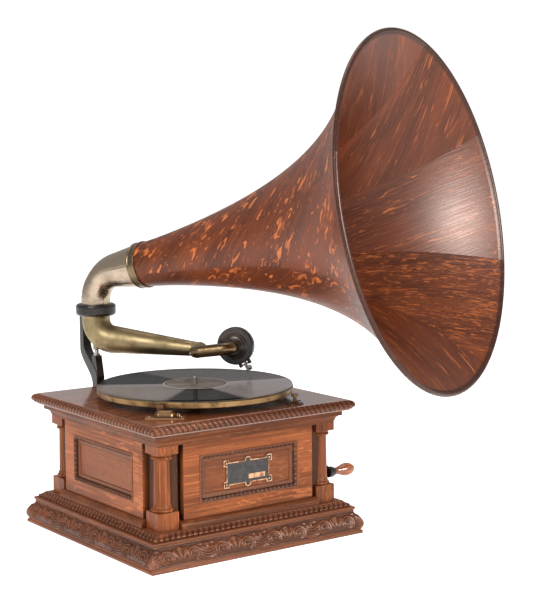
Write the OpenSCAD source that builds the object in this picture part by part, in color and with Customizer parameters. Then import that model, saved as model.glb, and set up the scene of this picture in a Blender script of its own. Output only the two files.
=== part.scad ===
// Horn gramophone: oak cabinet with a spring motor, turntable, swinging tone arm and a wooden flared horn.
// Millimetres, +Z up, origin at the centre of the underside, -Y is the front with the nameplate.

/* [Cabinet] */
// Width across opposite panel faces
body_w = 316; // [312:1:330]
// Height of the carved base moulding
base_h = 50; // [46:1:56]
// How far the base stands out beyond the panels
base_out = 32; // [28:0.5:40]
// Height of the sill rails below the panels
sill_h = 11.5; // [8:0.5:14]
// Height of the panels
panel_h = 110.5; // [108:0.5:120]
// Thickness of the panels
panel_t = 19.5; // [14:0.5:20]
// Side of the square blocks at the ends of each corner column
block_w = 34; // [32:0.5:40]
// Diameter of the column shafts
shaft_d = 26; // [18:0.5:26.5]
// Open slot between a column block and the panel beside it
slot_w = 8.5; // [6:0.5:14]
// Height of the lower column blocks
block_h = 26; // [20:0.5:32]
// Height of the cornice under the lid
cornice_h = 19; // [19:0.5:24]
// How far the cornice stands out beyond the panels
cornice_out = 9; // [6:0.5:14]
// Thickness of the lid
lid_t = 16; // [15:0.5:20]
// How far the lid's rope edge stands out beyond the panels
lid_out = 23.5; // [20:0.5:27]
// Radius of the rope edge
rope_r = 7; // [6:0.25:7.5]

/* [Panels] */
// Width of the moulded frame on a panel
frame_w = 176; // [120:1:190]
// Height of the moulded frame on a panel
frame_h = 71; // [60:1:90]
// Width of the carved moulding of that frame
moulding_w = 12; // [8:0.5:16]
// Depth of the sunk field inside the frame
field_depth = 5.5; // [3:0.5:7]
// Width of the nameplate
plate_w = 87; // [60:1:90]
// Height of the nameplate
plate_h = 42; // [30:1:44]

/* [Turntable] */
// Diameter of the record
record_d = 300; // [250:1:302]
// Thickness of the record
record_t = 2; // [1.5:0.1:3]
// How far the turntable's rim stands out beyond the record
platter_over = 1; // [0.5:0.5:3]
// Height of the turntable's rim
platter_h = 9.2; // [7:0.1:12]
// Gap between the lid and the rim
platter_gap = 10; // [8:0.5:12]
// Thickness of the felt
felt_t = 1.2; // [0.8:0.1:3]
// Diameter of the spindle's pin
pin_d = 7.2; // [6:0.1:7.8]
// How far the pin stands above the record
pin_up = 11.5; // [6:0.5:14]
// How far the spindle stands in front of the cabinet's centre
spindle_front = 14; // [10:0.5:16]

/* [Tone arm] */
// Outer diameter of the tubes in the bracket's collar
tube_d = 47; // [44:0.5:50]
// Wall of the brass tubes
tube_wall = 2; // [1:0.25:2.5]
// Place of the collar's axis, to the right of the cabinet's centre
collar_x = -54.4; // [-60:0.1:-40]
// How far the collar's axis stands behind the lid's edge
collar_behind = 13.5; // [12.5:0.5:23.5]
// Height of the collar's underside
collar_z = 320; // [318:1:330]
// Height of the collar
collar_h = 19; // [16:0.5:24]
// Heading of the arm at rest, from the front towards the right
arm_heading = 36.7; // [30:0.1:50]
// Distance from the collar's axis to the gooseneck's joint
arm_reach = 178.9; // [165:0.1:185]
// Downward slope of the arm
arm_slope = 4.3; // [3:0.1:5]
// Diameter of the arm at the gooseneck's joint
arm_tip_d = 22; // [20:0.5:25]
// Diameter of the gooseneck tube
goose_d = 19; // [16:0.5:20]
// Sideways reach of the gooseneck
goose_out = 34; // [30:0.5:40]
// Forward reach of the gooseneck
goose_fwd = 60; // [50:0.5:66]
// Diameter of the sound box
box_d = 60; // [50:0.5:64]
// Forward lean of the needle from straight down
needle_lean = 27.3; // [20:0.1:35]
// Gap between the needle's tip and the record
needle_gap = 0.3; // [0.3:0.1:1]

/* [Horn] */
// Heading of the horn at rest, from the front towards the right
horn_heading = 23.6; // [0:0.1:60]
// Upward tilt of the horn's axis
horn_tilt = 10.9; // [8:0.1:30]
// Height at which the horn's axis meets the collar's axis
horn_z = 386.8; // [384:0.1:400]
// Distance from there to the horn's throat
throat_s = 95; // [88:0.5:105]
// Outer diameter of the throat
throat_d = 70; // [64:0.5:74]
// Length of the wooden horn
horn_len = 502; // [450:1:540]
// Outer diameter of the bell
bell_d = 525; // [460:1:540]
// Wall of the wooden horn
horn_wall = 4.5; // [3:0.25:6]
// Staves that make up the horn
staves = 8; // [6:1:14]

/* [Crank] */
// Radius of the crank, from the shaft to the grip
crank_throw = 114.5; // [100:0.5:116]
// Angle of the crank arm below the horizontal, towards the front
crank_drop = 14.2; // [0:0.1:60]
// Height of the winding shaft
crank_z = 104; // [103:0.5:106]
// Place of the winding shaft behind the cabinet's centre
crank_y = 20; // [14:0.5:24]
// Length of the wooden grip
grip_len = 44; // [36:0.5:54]
// Largest diameter of the grip
grip_d = 20.5; // [18:0.5:26]

/* [Motor] */
// Teeth of the spring barrel's great wheel
great_n = 64; // [60:1:66]
// Teeth of the pinion that it drives
centre_n = 12; // [12:1:13]
// Module of that pair
great_m = 1.25; // [1.2:0.01:1.3]
// Teeth of the intermediate wheel
wheel_n = 80; // [78:1:84]
// Teeth of the spindle's pinion
pinion_n = 15; // [14:1:16]
// Module of that pair
wheel_m = 1; // [0.98:0.01:1.03]
// Teeth of the crown wheel that drives the governor
crown_n = 90; // [84:1:92]
// Teeth of the governor's pinion
gov_n = 10; // [10:1:12]
// Module of that pair
crown_m = 0.8; // [0.78:0.01:0.82]
// Teeth of the winding crown wheel
wind_crown_n = 48; // [44:1:48]
// Teeth of the winding pinion
wind_pinion_n = 12; // [12:1:13]
// Module of that pair
wind_m = 1.25; // [1.2:0.01:1.25]
// Teeth of the ratchet wheel
ratchet_n = 32; // [16:16:32]
// Height of the spring barrel
barrel_h = 32; // [26:0.5:33]
// Diameter of the spring barrel
barrel_d = 76; // [66:0.5:77]
// Turns of the mainspring
spring_turns = 11; // [6:1:14]

/* [Hidden] */
$fn = 64;
eps = 0.01;
run = 0.05;      // running clearance of a shaft in its bore
seat = 0.3;      // clearance between surfaces that nearly meet
half = body_w / 2;
body_z0 = base_h;
panel_z0 = base_h + sill_h;
body_z1 = panel_z0 + panel_h;
lid_z0 = body_z1 + cornice_h;
lid_z1 = lid_z0 + lid_t;
panel_half = half - block_w - slot_w;
inner_half = half - panel_t;
column_c = half - block_w / 2;
post_face = half - 7;
ring_r = block_w / 2 - 0.4;
frame_z = panel_z0 + panel_h / 2;
field_face = half - field_depth;

spin_x = 0;
spin_y = -spindle_front;
rim_r = record_d / 2 + platter_over;
platter_z0 = lid_z1 + platter_gap;
platter_z1 = platter_z0 + platter_h;
record_z0 = platter_z1 + felt_t;
record_z1 = record_z0 + record_t;
pin_r = pin_d / 2;
pin_z1 = record_z1 + pin_up;
shaft_r = 4.5;

collar_y = half + lid_out + collar_behind;
tube_r = tube_d / 2;
collar_bore_r = tube_r + 0.5;
collar_r = collar_bore_r + 8.3;
collar_z1 = collar_z + collar_h;
sleeve_r = collar_bore_r - run;
arm_bend = 32;
elbow_r = tube_r - 1;
arm_bend_z = collar_z - 7;
arm_turn = 90 - arm_slope;
arm_start_x = arm_bend * (1 - cos(arm_turn));
arm_start_z = arm_bend_z - arm_bend * sin(arm_turn);
arm_len = (arm_reach - arm_start_x) / cos(arm_slope);
joint_z = arm_start_z - arm_len * sin(arm_slope);
arm_tip_r = arm_tip_d / 2;
goose_r = goose_d / 2;
goose_bore_r = goose_r + run;
socket_r = goose_bore_r + 2.6;
neck_in = 5;      // how far the gooseneck reaches past the arm's axis
goose_bend = 14;
box_z = joint_z + 8.1;
box_r = box_d / 2;
box_x = arm_reach + goose_fwd;
goose_rise = atan2(box_z - joint_z, goose_fwd);
goose_run = norm([box_z - joint_z, goose_fwd]);
needle_z = record_z1 + needle_gap;
needle_tip = (box_z - needle_z) / cos(needle_lean);
lug_z = arm_bend_z - sqrt(pow(arm_bend + elbow_r, 2) - pow(arm_bend, 2));

horn_turn = 90 - horn_tilt;
horn_tangent = horn_z - collar_z1 - 3;
horn_bend = horn_tangent / tan(horn_turn / 2);
horn_bend_z = horn_z - horn_tangent;
throat_r = throat_d / 2;
bell_r = bell_d / 2;
flare_rate = 0.0036;
flare_power = 6;
flare_r = 0.948 * throat_r;
lip_extra = bell_r - flare_r * exp(flare_rate * horn_len);

bed_t = 8;
bed_z = lid_z0 - bed_t;
frame_t = 5;
plate_z = crank_z - 20;
plate_z1 = plate_z + frame_t;
centre_gap = wheel_m * (wheel_n + pinion_n) / 2;
barrel_gap = great_m * (great_n + centre_n) / 2;
barrel_x = 74;
barrel_y = crank_y;
span = norm([barrel_x - spin_x, barrel_y - spin_y]);
span_a = atan2(barrel_y - spin_y, barrel_x - spin_x);
inter_a = span_a + acos((pow(span, 2) + pow(centre_gap, 2) - pow(barrel_gap, 2)) / (2 * span * centre_gap));
inter_x = spin_x + centre_gap * cos(inter_a);
inter_y = spin_y + centre_gap * sin(inter_a);
wind_r = wind_m * wind_crown_n / 2;
wind_pinion_r = wind_m * wind_pinion_n / 2;
wind_z = crank_z + wind_pinion_r;
barrel_r = barrel_d / 2;
barrel_z0 = wind_z + 2 * wind_m + 5;
barrel_z1 = barrel_z0 + barrel_h;
great_z1 = barrel_z1 + 6;
wheel_z = great_z1 + 4;
arbor_r = 5;
inter_r = 3;
crown_r = crown_m * crown_n / 2;
gov_r = crown_m * gov_n / 2;
gov_z = crank_z + 14;
crown_z = gov_z + gov_r;
gov_y0 = spin_y - crown_r;
gov_y1 = -inner_half + 8;
gov_shaft_r = 2;
gov_disc_r = 22;
gov_disc_y = gov_y1 + 10;
gov_collar_y = gov_y0 - 14;
wind_shaft_r = 5;
wind_x = barrel_x + wind_r;
crank_x = half + 42;
grip_x = crank_x + 7;
grip_y = crank_y - crank_throw * cos(crank_drop);
grip_z = crank_z - crank_throw * sin(crank_drop);
lower_post = [[-55, -58], [-40, 62], [60, -62], [60, 84]];
lid_bolt = [[-45, -70], [-50, 40], [106, -50], [98, 78]];
knob_x = 89;
knob_y = -half + 7;
knob_cam = 2;
pad_gap = 1.9;    // gap between the brake pad and the governor's disc
lever_x = 50;
lever_y = -inner_half + 11;
lever_a = atan2(knob_y - lever_y, knob_x - lever_x);
brake_a = 221.7;
brake_r = rim_r + 20;
leg_y = collar_y - 11;
pad_z0 = body_z1 - 87;
pad_z1 = body_z1 - 7;

oak = [0.62, 0.33, 0.19];
oak_dark = [0.50, 0.25, 0.14];
brass = [0.72, 0.60, 0.36];
nickel = [0.68, 0.63, 0.55];
iron = [0.16, 0.16, 0.17];
steel = [0.62, 0.62, 0.63];

// Points of an arc about [x, y], from angle a0 to a1
function arc(x, y, r, a0, a1, n) = [for (i = [0 : n]) [x + r * cos(a0 + (a1 - a0) * i / n), y + r * sin(a0 + (a1 - a0) * i / n)]];

function smooth(t) = t * t * (3 - 2 * t);

// Straight bar along Y whose section is drawn with x outward and y up
module bar_along_y(len) {
  translate([0, len / 2, 0]) rotate([90, 0, 0]) linear_extrude(height = len) children();
}

// The same bar along X, its outer side towards the front
module bar_along_x(len) { rotate([0, 0, -90]) bar_along_y(len) children(); }

// Square frame with mitred corners, from a section drawn with x outward and y up
module square_frame(reach, top) {
  for (i = [0 : 3]) rotate([0, 0, 90 * i]) intersection() {
    bar_along_y(2 * reach) children();
    translate([0, 0, -1]) linear_extrude(height = top + 2) polygon([[0, 0], [reach, -reach], [reach, reach]]);
  }
}

// One copy in each corner of the cabinet, turned so that the corner is at +X +Y
module each_corner() {
  for (i = [0 : 3]) rotate([0, 0, 90 * i]) children();
}

// Puts the front face's plane, drawn in x and z, on one side: 0 front, 1 right, 2 back, 3 left
module on_side(i) {
  rotate([0, 0, 90 * i]) children();
}

// Rectangular ring with mitred corners on the XZ plane, from a section drawn with x inward and y forward
module mitred_ring(w, h, band) {
  for (side = [0 : 3]) {
    long = side % 2 == 0 ? w : h;
    far = side % 2 == 0 ? h : w;
    rotate([0, 90 * side, 0]) intersection() {
      translate([-long / 2, 0, -far / 2]) rotate([90, 0, 90]) linear_extrude(height = long) rotate(90) children();
      rotate([90, 0, 0]) linear_extrude(height = 60, center = true)
        polygon([[-long / 2, -far / 2], [long / 2, -far / 2], [long / 2 - band, -far / 2 + band], [-long / 2 + band, -far / 2 + band]]);
    }
  }
}

// Outline of a spur wheel with a tooth on +X
module gear(m, n, h, slack) {
  pitch_r = m * n / 2;
  tip = 0.9 * m;
  root = 1.2 * m;
  thick = PI * m / 4 - slack;
  spread = 0.36 * min(1, n / 40);
  flank = [[-root, thick + root * spread], [0, thick], [0.5 * tip, thick - 0.16 * m], [tip, thick - 0.40 * m]];
  linear_extrude(height = h) polygon([for (i = [0 : n - 1]) for (k = [0 : 7])
    let (f = flank[k < 4 ? k : 7 - k], r = pitch_r + f[0], a = 360 * i / n + (k < 4 ? -1 : 1) * f[1] / r * 180 / PI)
    [r * cos(a), r * sin(a)]]);
}

// Ring of radial teeth that point down from z = 0, with a tooth on +X
module crown_teeth(m, n, face, slack) {
  pitch_r = m * n / 2;
  thick = PI * m / 4 - slack;
  for (i = [0 : n - 1]) rotate([0, 0, 360 * i / n]) translate([pitch_r - face / 2, 0, 0]) rotate([90, 0, 90])
    linear_extrude(height = face) polygon([[-thick - 0.45 * m, 1.2 * m + eps], [-thick + 0.33 * m, -0.9 * m],
      [thick - 0.33 * m, -0.9 * m], [thick + 0.45 * m, 1.2 * m + eps]]);
}

// Tube bent round a quarter or less, from the origin along +Z towards +X
module bend(r, radius, angle) {
  translate([radius, 0, 0]) mirror([1, 0, 0]) rotate([90, 0, 0]) rotate_extrude(angle = angle)
    translate([radius, 0]) circle(r = r);
}

// Places of the moving groups
module at_spindle(z) { translate([spin_x, spin_y, z]) children(); }
module at_barrel(z) { translate([barrel_x, barrel_y, z]) children(); }
module at_intermediate(z) { translate([inter_x, inter_y, z]) children(); }
module arm_frame() { translate([collar_x, collar_y, 0]) rotate([0, 0, arm_heading - 90]) children(); }
module box_frame() { arm_frame() translate([box_x, 0, box_z]) rotate([0, -needle_lean, 0]) children(); }
module horn_frame() { translate([collar_x, collar_y, 0]) rotate([0, 0, horn_heading - 90]) children(); }
module horn_axis(s) { horn_frame() translate([0, 0, horn_z]) rotate([0, 90 - horn_tilt, 0]) translate([0, 0, s]) children(); }

// Base

module base_board() {
  w = 2 * (half - 30 - seat);
  color(oak_dark) translate([-w / 2, -w / 2, 0]) cube([w, w, 8]);
}

// Section of the base: fillet, carved ovolo, upper fillet
function ovolo(out, z0, z1) = [for (i = [0 : 12]) let (t = i / 12)
  [half + out - 8 * pow(t, 2.5) + 7 * sin(180 * t) * (1 - t), z0 + (z1 - z0) * t]];

module base_moulding() {
  top = base_h - 9;
  color(oak) square_frame(half + base_out + 4, top)
    polygon(concat([[half - 30, 0], [half + base_out - 0.5, 0], [half + base_out - 0.5, 4.5]],
      ovolo(base_out - 3, 6, top - 5), [[half + base_out - 9, top - 3.5], [half + base_out - 9, top], [half - 30, top]]));
}

module base_band() {
  z = base_h - 9;
  color(oak) square_frame(half + base_out, base_h)
    polygon(concat([[half - 30, z], [half + base_out - 14.5, z]],
      arc(half + base_out - 14.5, z + 12.5, 8, 270, 206, 6), [[half + base_out - 23, base_h], [half - 30, base_h]]));
}

module sill_rails() {
  w = 2 * (half - block_w) - 2;
  color(oak) for (i = [0 : 3]) on_side(i) translate([0, 0, base_h]) bar_along_x(w)
    polygon(concat([[half - 15, 0], [half + 8, 0]], [for (k = [0 : 8]) let (a = 90 * k / 8)
      [half + 8 * cos(a), 1.5 + (sill_h - 1.5) * sin(a)]], [[half - 15, sill_h]]));
}

// Corner columns

function column_outline(gap) = let (z0 = block_h - eps, z1 = body_z1 - base_h - 12 + eps, r = shaft_d / 2 + gap)
  concat([[0, z0]], arc(ring_r - 2.5 + gap, z0 + 2.5, 2.5, -90, 90, 6), [[r + 1.5, z0 + 7], [r, z0 + 10],
    [r - 0.8, (z0 + z1) / 2 + 20], [r - 1, z1 - 9]], arc(r + 1, z1 - 5.5, 2, 270, 450, 6), [[r + 3.5, z1 - 1], [r + 3.5, z1], [0, z1]]);

module column() {
  cap_z = body_z1 - base_h - 12;
  translate([column_c, column_c, base_h]) {
    translate([-block_w / 2, -block_w / 2, 0]) cube([block_w, block_w, block_h]);
    rotate_extrude() polygon(column_outline(0));
    translate([-block_w / 2, -block_w / 2, cap_z]) cube([block_w, block_w, 12]);
  }
}

module column_front_left() { color(oak) rotate([0, 0, 180]) column(); }
module column_front_right() { color(oak) rotate([0, 0, 270]) column(); }
module column_back_left() { color(oak) rotate([0, 0, 90]) column(); }
module column_back_right() { color(oak) column(); }

// Posts behind the columns, hollowed for the shafts, with a tongue behind each panel's edge
module corner_posts() {
  inner = panel_half - 8;
  outer = half - block_w - 3;
  h = body_z1 - base_h;
  color(oak_dark) each_corner() difference() {
    union() {
      translate([inner, inner, base_h]) cube([inner_half - inner, inner_half - inner, h]);
      translate([outer, outer, base_h + sill_h]) cube([post_face - outer, post_face - outer, h - sill_h]);
    }
    translate([column_c, column_c, base_h - 1]) cube([block_w, block_w, h + 2]);
    translate([half - block_w - run, half - block_w - run, base_h - 1]) cube([block_w, block_w, block_h + 1 + run]);
    translate([half - block_w - run, half - block_w - run, body_z1 - 12 - run]) cube([block_w, block_w, 14]);
    translate([column_c, column_c, base_h]) rotate_extrude() polygon(column_outline(seat));
  }
}

// Panels

module panel_board(sunk) {
  difference() {
    translate([-panel_half, -half, panel_z0]) cube([2 * panel_half, panel_t, panel_h]);
    if (sunk) translate([-frame_w / 2, -half - 1, frame_z - frame_h / 2]) cube([frame_w, field_depth + 1, frame_h]);
  }
}

module front_panel() { color(oak) on_side(0) panel_board(true); }
module left_panel() { color(oak) on_side(3) panel_board(true); }

module back_panel() {
  color(oak) difference() {
    on_side(2) panel_board(false);
    at_bolts() cylinder(r = 3 + run, h = 80);
  }
}

module right_panel() {
  color(oak) difference() {
    on_side(1) panel_board(true);
    translate([half - panel_t - 1, crank_y, crank_z]) rotate([0, 90, 0]) cylinder(r = wind_shaft_r + 3, h = panel_t + 2);
  }
}

// Carved ring in each sunk field: a quarter round that falls towards the field
module panel_mouldings() {
  w = frame_w - 0.2;
  h = frame_h - 0.2;
  color(oak_dark) for (i = [0, 1, 3]) on_side(i) translate([0, -field_face, frame_z])
    mitred_ring(w, h, moulding_w)
      polygon(concat([[0, 0], [0, field_depth + 0.8]], [for (k = [0 : 8]) let (a = 90 * k / 8)
        [1.5 + (moulding_w - 3) * sin(a), 1.5 + (field_depth - 0.7) * cos(a)]], [[moulding_w, 1.1], [moulding_w, 0]]));
}

// Bare plate with eared corners and a raised edge
module nameplate() {
  color("black") translate([0, -field_face, frame_z]) rotate([90, 0, 0]) {
    difference() {
      linear_extrude(height = 1.4) plate_outline(0);
      translate([0, 0, 0.9]) linear_extrude(height = 1) plate_outline(1.6);
    }
    for (x = [-1, 1]) for (y = [-1, 1]) translate([x * (plate_w / 2 - 5), y * (plate_h / 2 - 5), 0.9 - eps])
      cylinder(r = 1.4, h = 1);
  }
}

module plate_outline(inset) {
  square([plate_w - 10 - 2 * inset, plate_h - 8 - 2 * inset], center = true);
  for (x = [-1, 1]) for (y = [-1, 1]) translate([x * (plate_w / 2 - 5), y * (plate_h / 2 - 5)])
    square([10 - 2 * inset, 10 - 2 * inset], center = true);
  for (y = [-1, 1]) translate([0, y * (plate_h / 2 - 4)]) circle(r = 5.6 - inset);
}

module crank_bush() {
  color(brass) translate([field_face, crank_y, crank_z]) rotate([0, 90, 0]) difference() {
    union() {
      cylinder(r = wind_shaft_r + 5.2, h = 2);
      cylinder(r = wind_shaft_r + 3.5, h = 5);
      translate([0, 0, -panel_t + field_depth]) cylinder(r = wind_shaft_r + 3 - run, h = panel_t - field_depth);
    }
    translate([0, 0, -panel_t]) cylinder(r = wind_shaft_r + run, h = panel_t + 10);
  }
}

// Cornice and lid

module cornice() {
  r = cornice_out - 1;
  color(oak) difference() {
    translate([0, 0, body_z1]) square_frame(half + cornice_out + 2, cornice_h)
      polygon(concat([[inner_half, 0], [half, 0], [half, 3]], arc(half + 1 + r, 3, r, 180, 105, 6),
        [[half + cornice_out, 3 + r], [half + cornice_out, cornice_h], [inner_half, cornice_h]]));
    translate([knob_x - 29, -half + 1.5, body_z1 - 1]) cube([41, panel_t + 1, cornice_h + 2]);
  }
}

module lid_board() {
  w = 2 * (half + lid_out - rope_r);
  color(oak) difference() {
    translate([-w / 2, -w / 2, lid_z0]) cube([w, w, lid_t]);
    at_spindle(lid_z0 - 1) cylinder(r = 12, h = lid_t + 2);
    for (p = lid_bolt) translate([p[0], p[1], lid_z0 - 1]) cylinder(r = 2.5 + run, h = lid_t + 2);
    translate([knob_x, knob_y, lid_z0 - 1]) cylinder(r = 2.5 + run, h = lid_t + 2);
  }
}

module rope_edge() {
  x = half + lid_out - rope_r;
  color(oak) square_frame(half + lid_out + 3, lid_z1)
    polygon(concat([[x, lid_z1 - 0.5 - 2 * rope_r]], arc(x, lid_z1 - 0.5 - rope_r, rope_r, -90, 90, 14), [[x, lid_z1 - 0.5]]));
}

// Motor plates

module plate_shape() {
  translate([-66, -76]) square([186, 172]);
  translate([-22, -inner_half + 3]) square([84, inner_half - 70]);
}

module motor_bedplate() {
  color(iron) difference() {
    union() {
      translate([0, 0, bed_z]) linear_extrude(height = bed_t) plate_shape();
      at_spindle(bed_z) cylinder(r = 10, h = lid_z1 - bed_z - 2);
    }
    at_spindle(bed_z - 1) cylinder(r = shaft_r + run, h = 60);
    at_barrel(bed_z - 1) cylinder(r = arbor_r + run, h = bed_t + 2);
    at_intermediate(bed_z - 1) cylinder(r = inter_r + run, h = bed_t + 2);
    translate([lever_x, lever_y, bed_z - 1]) cylinder(r = 3 + run, h = bed_t + 2);
    for (p = lid_bolt) translate([p[0], p[1], bed_z - 1]) cylinder(r = 2.5 + run, h = bed_t + 2);
  }
}

module gov_post(y, t) {
  translate([-7, y - t / 2, plate_z1 - 1]) cube([14, t, gov_z - plate_z1 + 1]);
  translate([0, y + t / 2, gov_z]) rotate([90, 0, 0]) cylinder(r = gov_r - 0.4, h = t);
}

module motor_frame() {
  color(iron) difference() {
    union() {
      translate([0, 0, plate_z]) linear_extrude(height = frame_t) plate_shape();
      for (p = lower_post) translate([p[0], p[1], plate_z]) cylinder(r = 5, h = bed_z - plate_z);
      gov_post(gov_y0 + 9, 5);
      gov_post(gov_y1, 5);
      translate([wind_x + 8, crank_y - 9, plate_z1 - 1]) cube([8, 18, crank_z - plate_z1 + 10]);
    }
    at_spindle(plate_z - 1) cylinder(r = shaft_r + run, h = frame_t + 2);
    at_barrel(plate_z - 1) cylinder(r = arbor_r + run, h = frame_t + 2);
    at_intermediate(plate_z - 1) cylinder(r = inter_r + run, h = frame_t + 2);
    translate([lever_x, lever_y, plate_z - 1]) cylinder(r = 3 + run, h = frame_t + 2);
    translate([pawl_x, pawl_y, plate_z - 1]) cylinder(r = 2 + run, h = frame_t + 2);
    translate([0, gov_y0 + 14, gov_z]) rotate([90, 0, 0]) cylinder(r = gov_shaft_r + run, h = 200);
    translate([wind_x, crank_y, crank_z]) rotate([0, 90, 0]) cylinder(r = wind_shaft_r + run, h = 30);
  }
}

module lid_screws() {
  color(steel) for (p = lid_bolt) translate([p[0], p[1], bed_z]) {
    cylinder(r = 2.5, h = lid_z1 - bed_z);
    difference() {
      translate([0, 0, lid_z1 - bed_z]) cylinder(r = 5.5, h = 2.4);
      translate([-6, -0.6, lid_z1 - bed_z + 1.2]) cube([12, 1.2, 2]);
    }
  }
}

// Motor train

module turntable_spindle() {
  color(steel) at_spindle(0) {
    translate([0, 0, plate_z]) cylinder(r = shaft_r, h = platter_z1 - plate_z);
    translate([0, 0, lid_z1 + 1]) cylinder(r = 8, h = platter_z0 - lid_z1 - 4);
    translate([0, 0, platter_z1 - eps]) cylinder(r = pin_r, h = pin_z1 - platter_z1 - 1.5);
    translate([0, 0, pin_z1 - 1.5 - eps]) cylinder(r1 = pin_r, r2 = pin_r - 1.5, h = 1.5);
    translate([0, 0, wheel_z - 1.5]) rotate([0, 0, inter_a + 180 / pinion_n]) gear(wheel_m, pinion_n, 8, 0.1);
  }
}

module governor_wheel() {
  color(brass) at_spindle(crown_z) difference() {
    union() {
      rotate([0, 0, -90]) crown_teeth(crown_m, crown_n, 4, 0.07);
      translate([0, 0, 1.2 * crown_m]) cylinder(r = crown_r + 2, h = 3);
      translate([0, 0, 1.2 * crown_m]) cylinder(r = 9, h = 9);
    }
    translate([0, 0, -5]) cylinder(r = shaft_r + run, h = 30);
    for (i = [0 : 3]) rotate([0, 0, 45 + 90 * i]) translate([crown_r * 0.58, 0, -5]) cylinder(r = 8, h = 20);
  }
}

module platter() {
  color(brass) at_spindle(platter_z0) difference() {
    rotate_extrude($fn = 128) polygon([[shaft_r + run, -3], [13, -3], [13, platter_h - 3.4], [rim_r - 5, platter_h - 3],
      [rim_r - 3.5, 0], [rim_r - 1, 0], [rim_r, 1], [rim_r, platter_h - 1], [rim_r - 1, platter_h], [shaft_r + run, platter_h]]);
  }
}

module felt_pad() {
  color([0.10, 0.14, 0.11]) at_spindle(platter_z1) rotate_extrude($fn = 128)
    polygon([[6, 0], [rim_r - 1.5, 0], [rim_r - 1.5, felt_t], [6, felt_t]]);
}

// Shellac record: raised bead at the edge, sunk label ring
module record() {
  r = record_d / 2;
  color([0.07, 0.06, 0.06]) at_spindle(record_z0) rotate_extrude($fn = 128)
    polygon([[pin_r + run, 0], [r - 0.8, 0], [r, 0.8], [r, record_t - 0.5], [r - 0.6, record_t], [r - 2.5, record_t],
      [r - 4, record_t - 0.2], [60, record_t - 0.2], [57, record_t - 0.05], [45, record_t - 0.05], [43, record_t - 0.2],
      [41, record_t], [pin_r + run, record_t]]);
}

module spring_barrel() {
  color(steel) at_barrel(barrel_z0) rotate_extrude($fn = 96)
    polygon([[arbor_r + run, 0], [barrel_r - 1, 0], [barrel_r, 1], [barrel_r, barrel_h], [barrel_r - 2, barrel_h],
      [barrel_r - 2, 2], [arbor_r + 4, 2], [arbor_r + 4, 5], [arbor_r + run, 5]]);
}

module great_wheel() {
  color(brass) at_barrel(barrel_z1) difference() {
    rotate([0, 0, atan2(inter_y - barrel_y, inter_x - barrel_x)]) gear(great_m, great_n, 6, 0.12);
    translate([0, 0, -1]) cylinder(r = arbor_r + run, h = 9);
  }
}

// Flat steel ribbon wound from the arbor out to the barrel's wall
module mainspring() {
  steps = spring_turns * 24;
  r0 = arbor_r + 1;
  r1 = barrel_r - 2.3 - 0.8;
  ribbon = 0.8;
  inside = [for (i = [0 : steps]) let (r = r0 + (r1 - r0) * i / steps) [r * cos(15 * i), r * sin(15 * i)]];
  outside = [for (i = [steps : -1 : 0]) let (r = r0 + ribbon + (r1 - r0) * i / steps) [r * cos(15 * i), r * sin(15 * i)]];
  color(steel) at_barrel(barrel_z0 + 6) linear_extrude(height = barrel_h - 8) polygon(concat(inside, outside));
}

module winding_arbor() {
  color(steel) at_barrel(0) difference() {
    union() {
      translate([0, 0, plate_z]) cylinder(r = arbor_r, h = bed_z + bed_t - plate_z);
      translate([0, 0, wind_z]) crown_teeth(wind_m, wind_crown_n, 6, 0.22);
      translate([0, 0, wind_z + 1.2 * wind_m]) cylinder(r = wind_r + 3, h = 3);
      translate([0, 0, plate_z1 + 1]) linear_extrude(height = 4) polygon([for (i = [0 : ratchet_n - 1]) for (k = [0, 1])
        let (a = 360 * (i + 0.08 * k) / ratchet_n, r = ratchet_r - ratchet_step * (1 - k)) [r * cos(a), r * sin(a)]]);
    }
  }
}

ratchet_r = 20;
ratchet_step = 2;
pawl_x = barrel_x - 4;
pawl_y = barrel_y + ratchet_r + 9;

module ratchet_pawl() {
  color(steel) translate([pawl_x, pawl_y, 0]) {
    translate([0, 0, plate_z]) cylinder(r = 2, h = frame_t + 6);
    translate([0, 0, plate_z1 + 1]) cylinder(r = 4, h = 4);
    translate([0, 0, plate_z1 + 1]) linear_extrude(height = 4)
      polygon([[-2, 3.5], [-20, -3], [-21, -5.5], [-18, -5.8], [-1, -3]]);
  }
}

module intermediate_wheel() {
  to_barrel = atan2(barrel_y - inter_y, barrel_x - inter_x);
  color(brass) at_intermediate(0) {
    translate([0, 0, plate_z]) cylinder(r = inter_r, h = bed_z + bed_t - plate_z);
    translate([0, 0, barrel_z1 - 1.5]) rotate([0, 0, to_barrel + 180 / centre_n]) gear(great_m, centre_n, 10, 0.12);
    translate([0, 0, wheel_z]) rotate([0, 0, inter_a + 180]) difference() {
      gear(wheel_m, wheel_n, 5, 0.1);
      for (i = [0 : 4]) rotate([0, 0, 72 * i]) translate([wheel_m * wheel_n * 0.30, 0, -1]) cylinder(r = 8, h = 7);
    }
  }
}

// Governor

module along_governor(y) { translate([0, y, gov_z]) rotate([90, 0, 0]) children(); }

module governor_shaft() {
  color(steel) {
    along_governor(gov_y0 + 11.5) cylinder(r = gov_shaft_r, h = gov_y0 + 11.5 - gov_y1 + 2.5);
    along_governor(gov_y0 + 3) rotate([0, 0, 90 + 180 / gov_n]) gear(crown_m, gov_n, 6, 0.07);
    along_governor(gov_collar_y) cylinder(r = 6, h = 5);
  }
}

module governor_springs() {
  len = gov_collar_y - gov_disc_y;
  color(steel) for (i = [0 : 2]) along_governor(gov_collar_y) rotate([0, 0, 120 * i]) translate([-3, 6, 0]) cube([6, 0.6, len]);
}

module governor_weights() {
  mid = (gov_collar_y - gov_disc_y) / 2;
  color([0.45, 0.43, 0.40]) for (i = [0 : 2]) along_governor(gov_collar_y) rotate([0, 0, 120 * i]) difference() {
    translate([0, 13, mid]) sphere(r = 7.5);
    translate([-10, 0, mid - 10]) cube([20, 6.6, 20]);
  }
}

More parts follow.
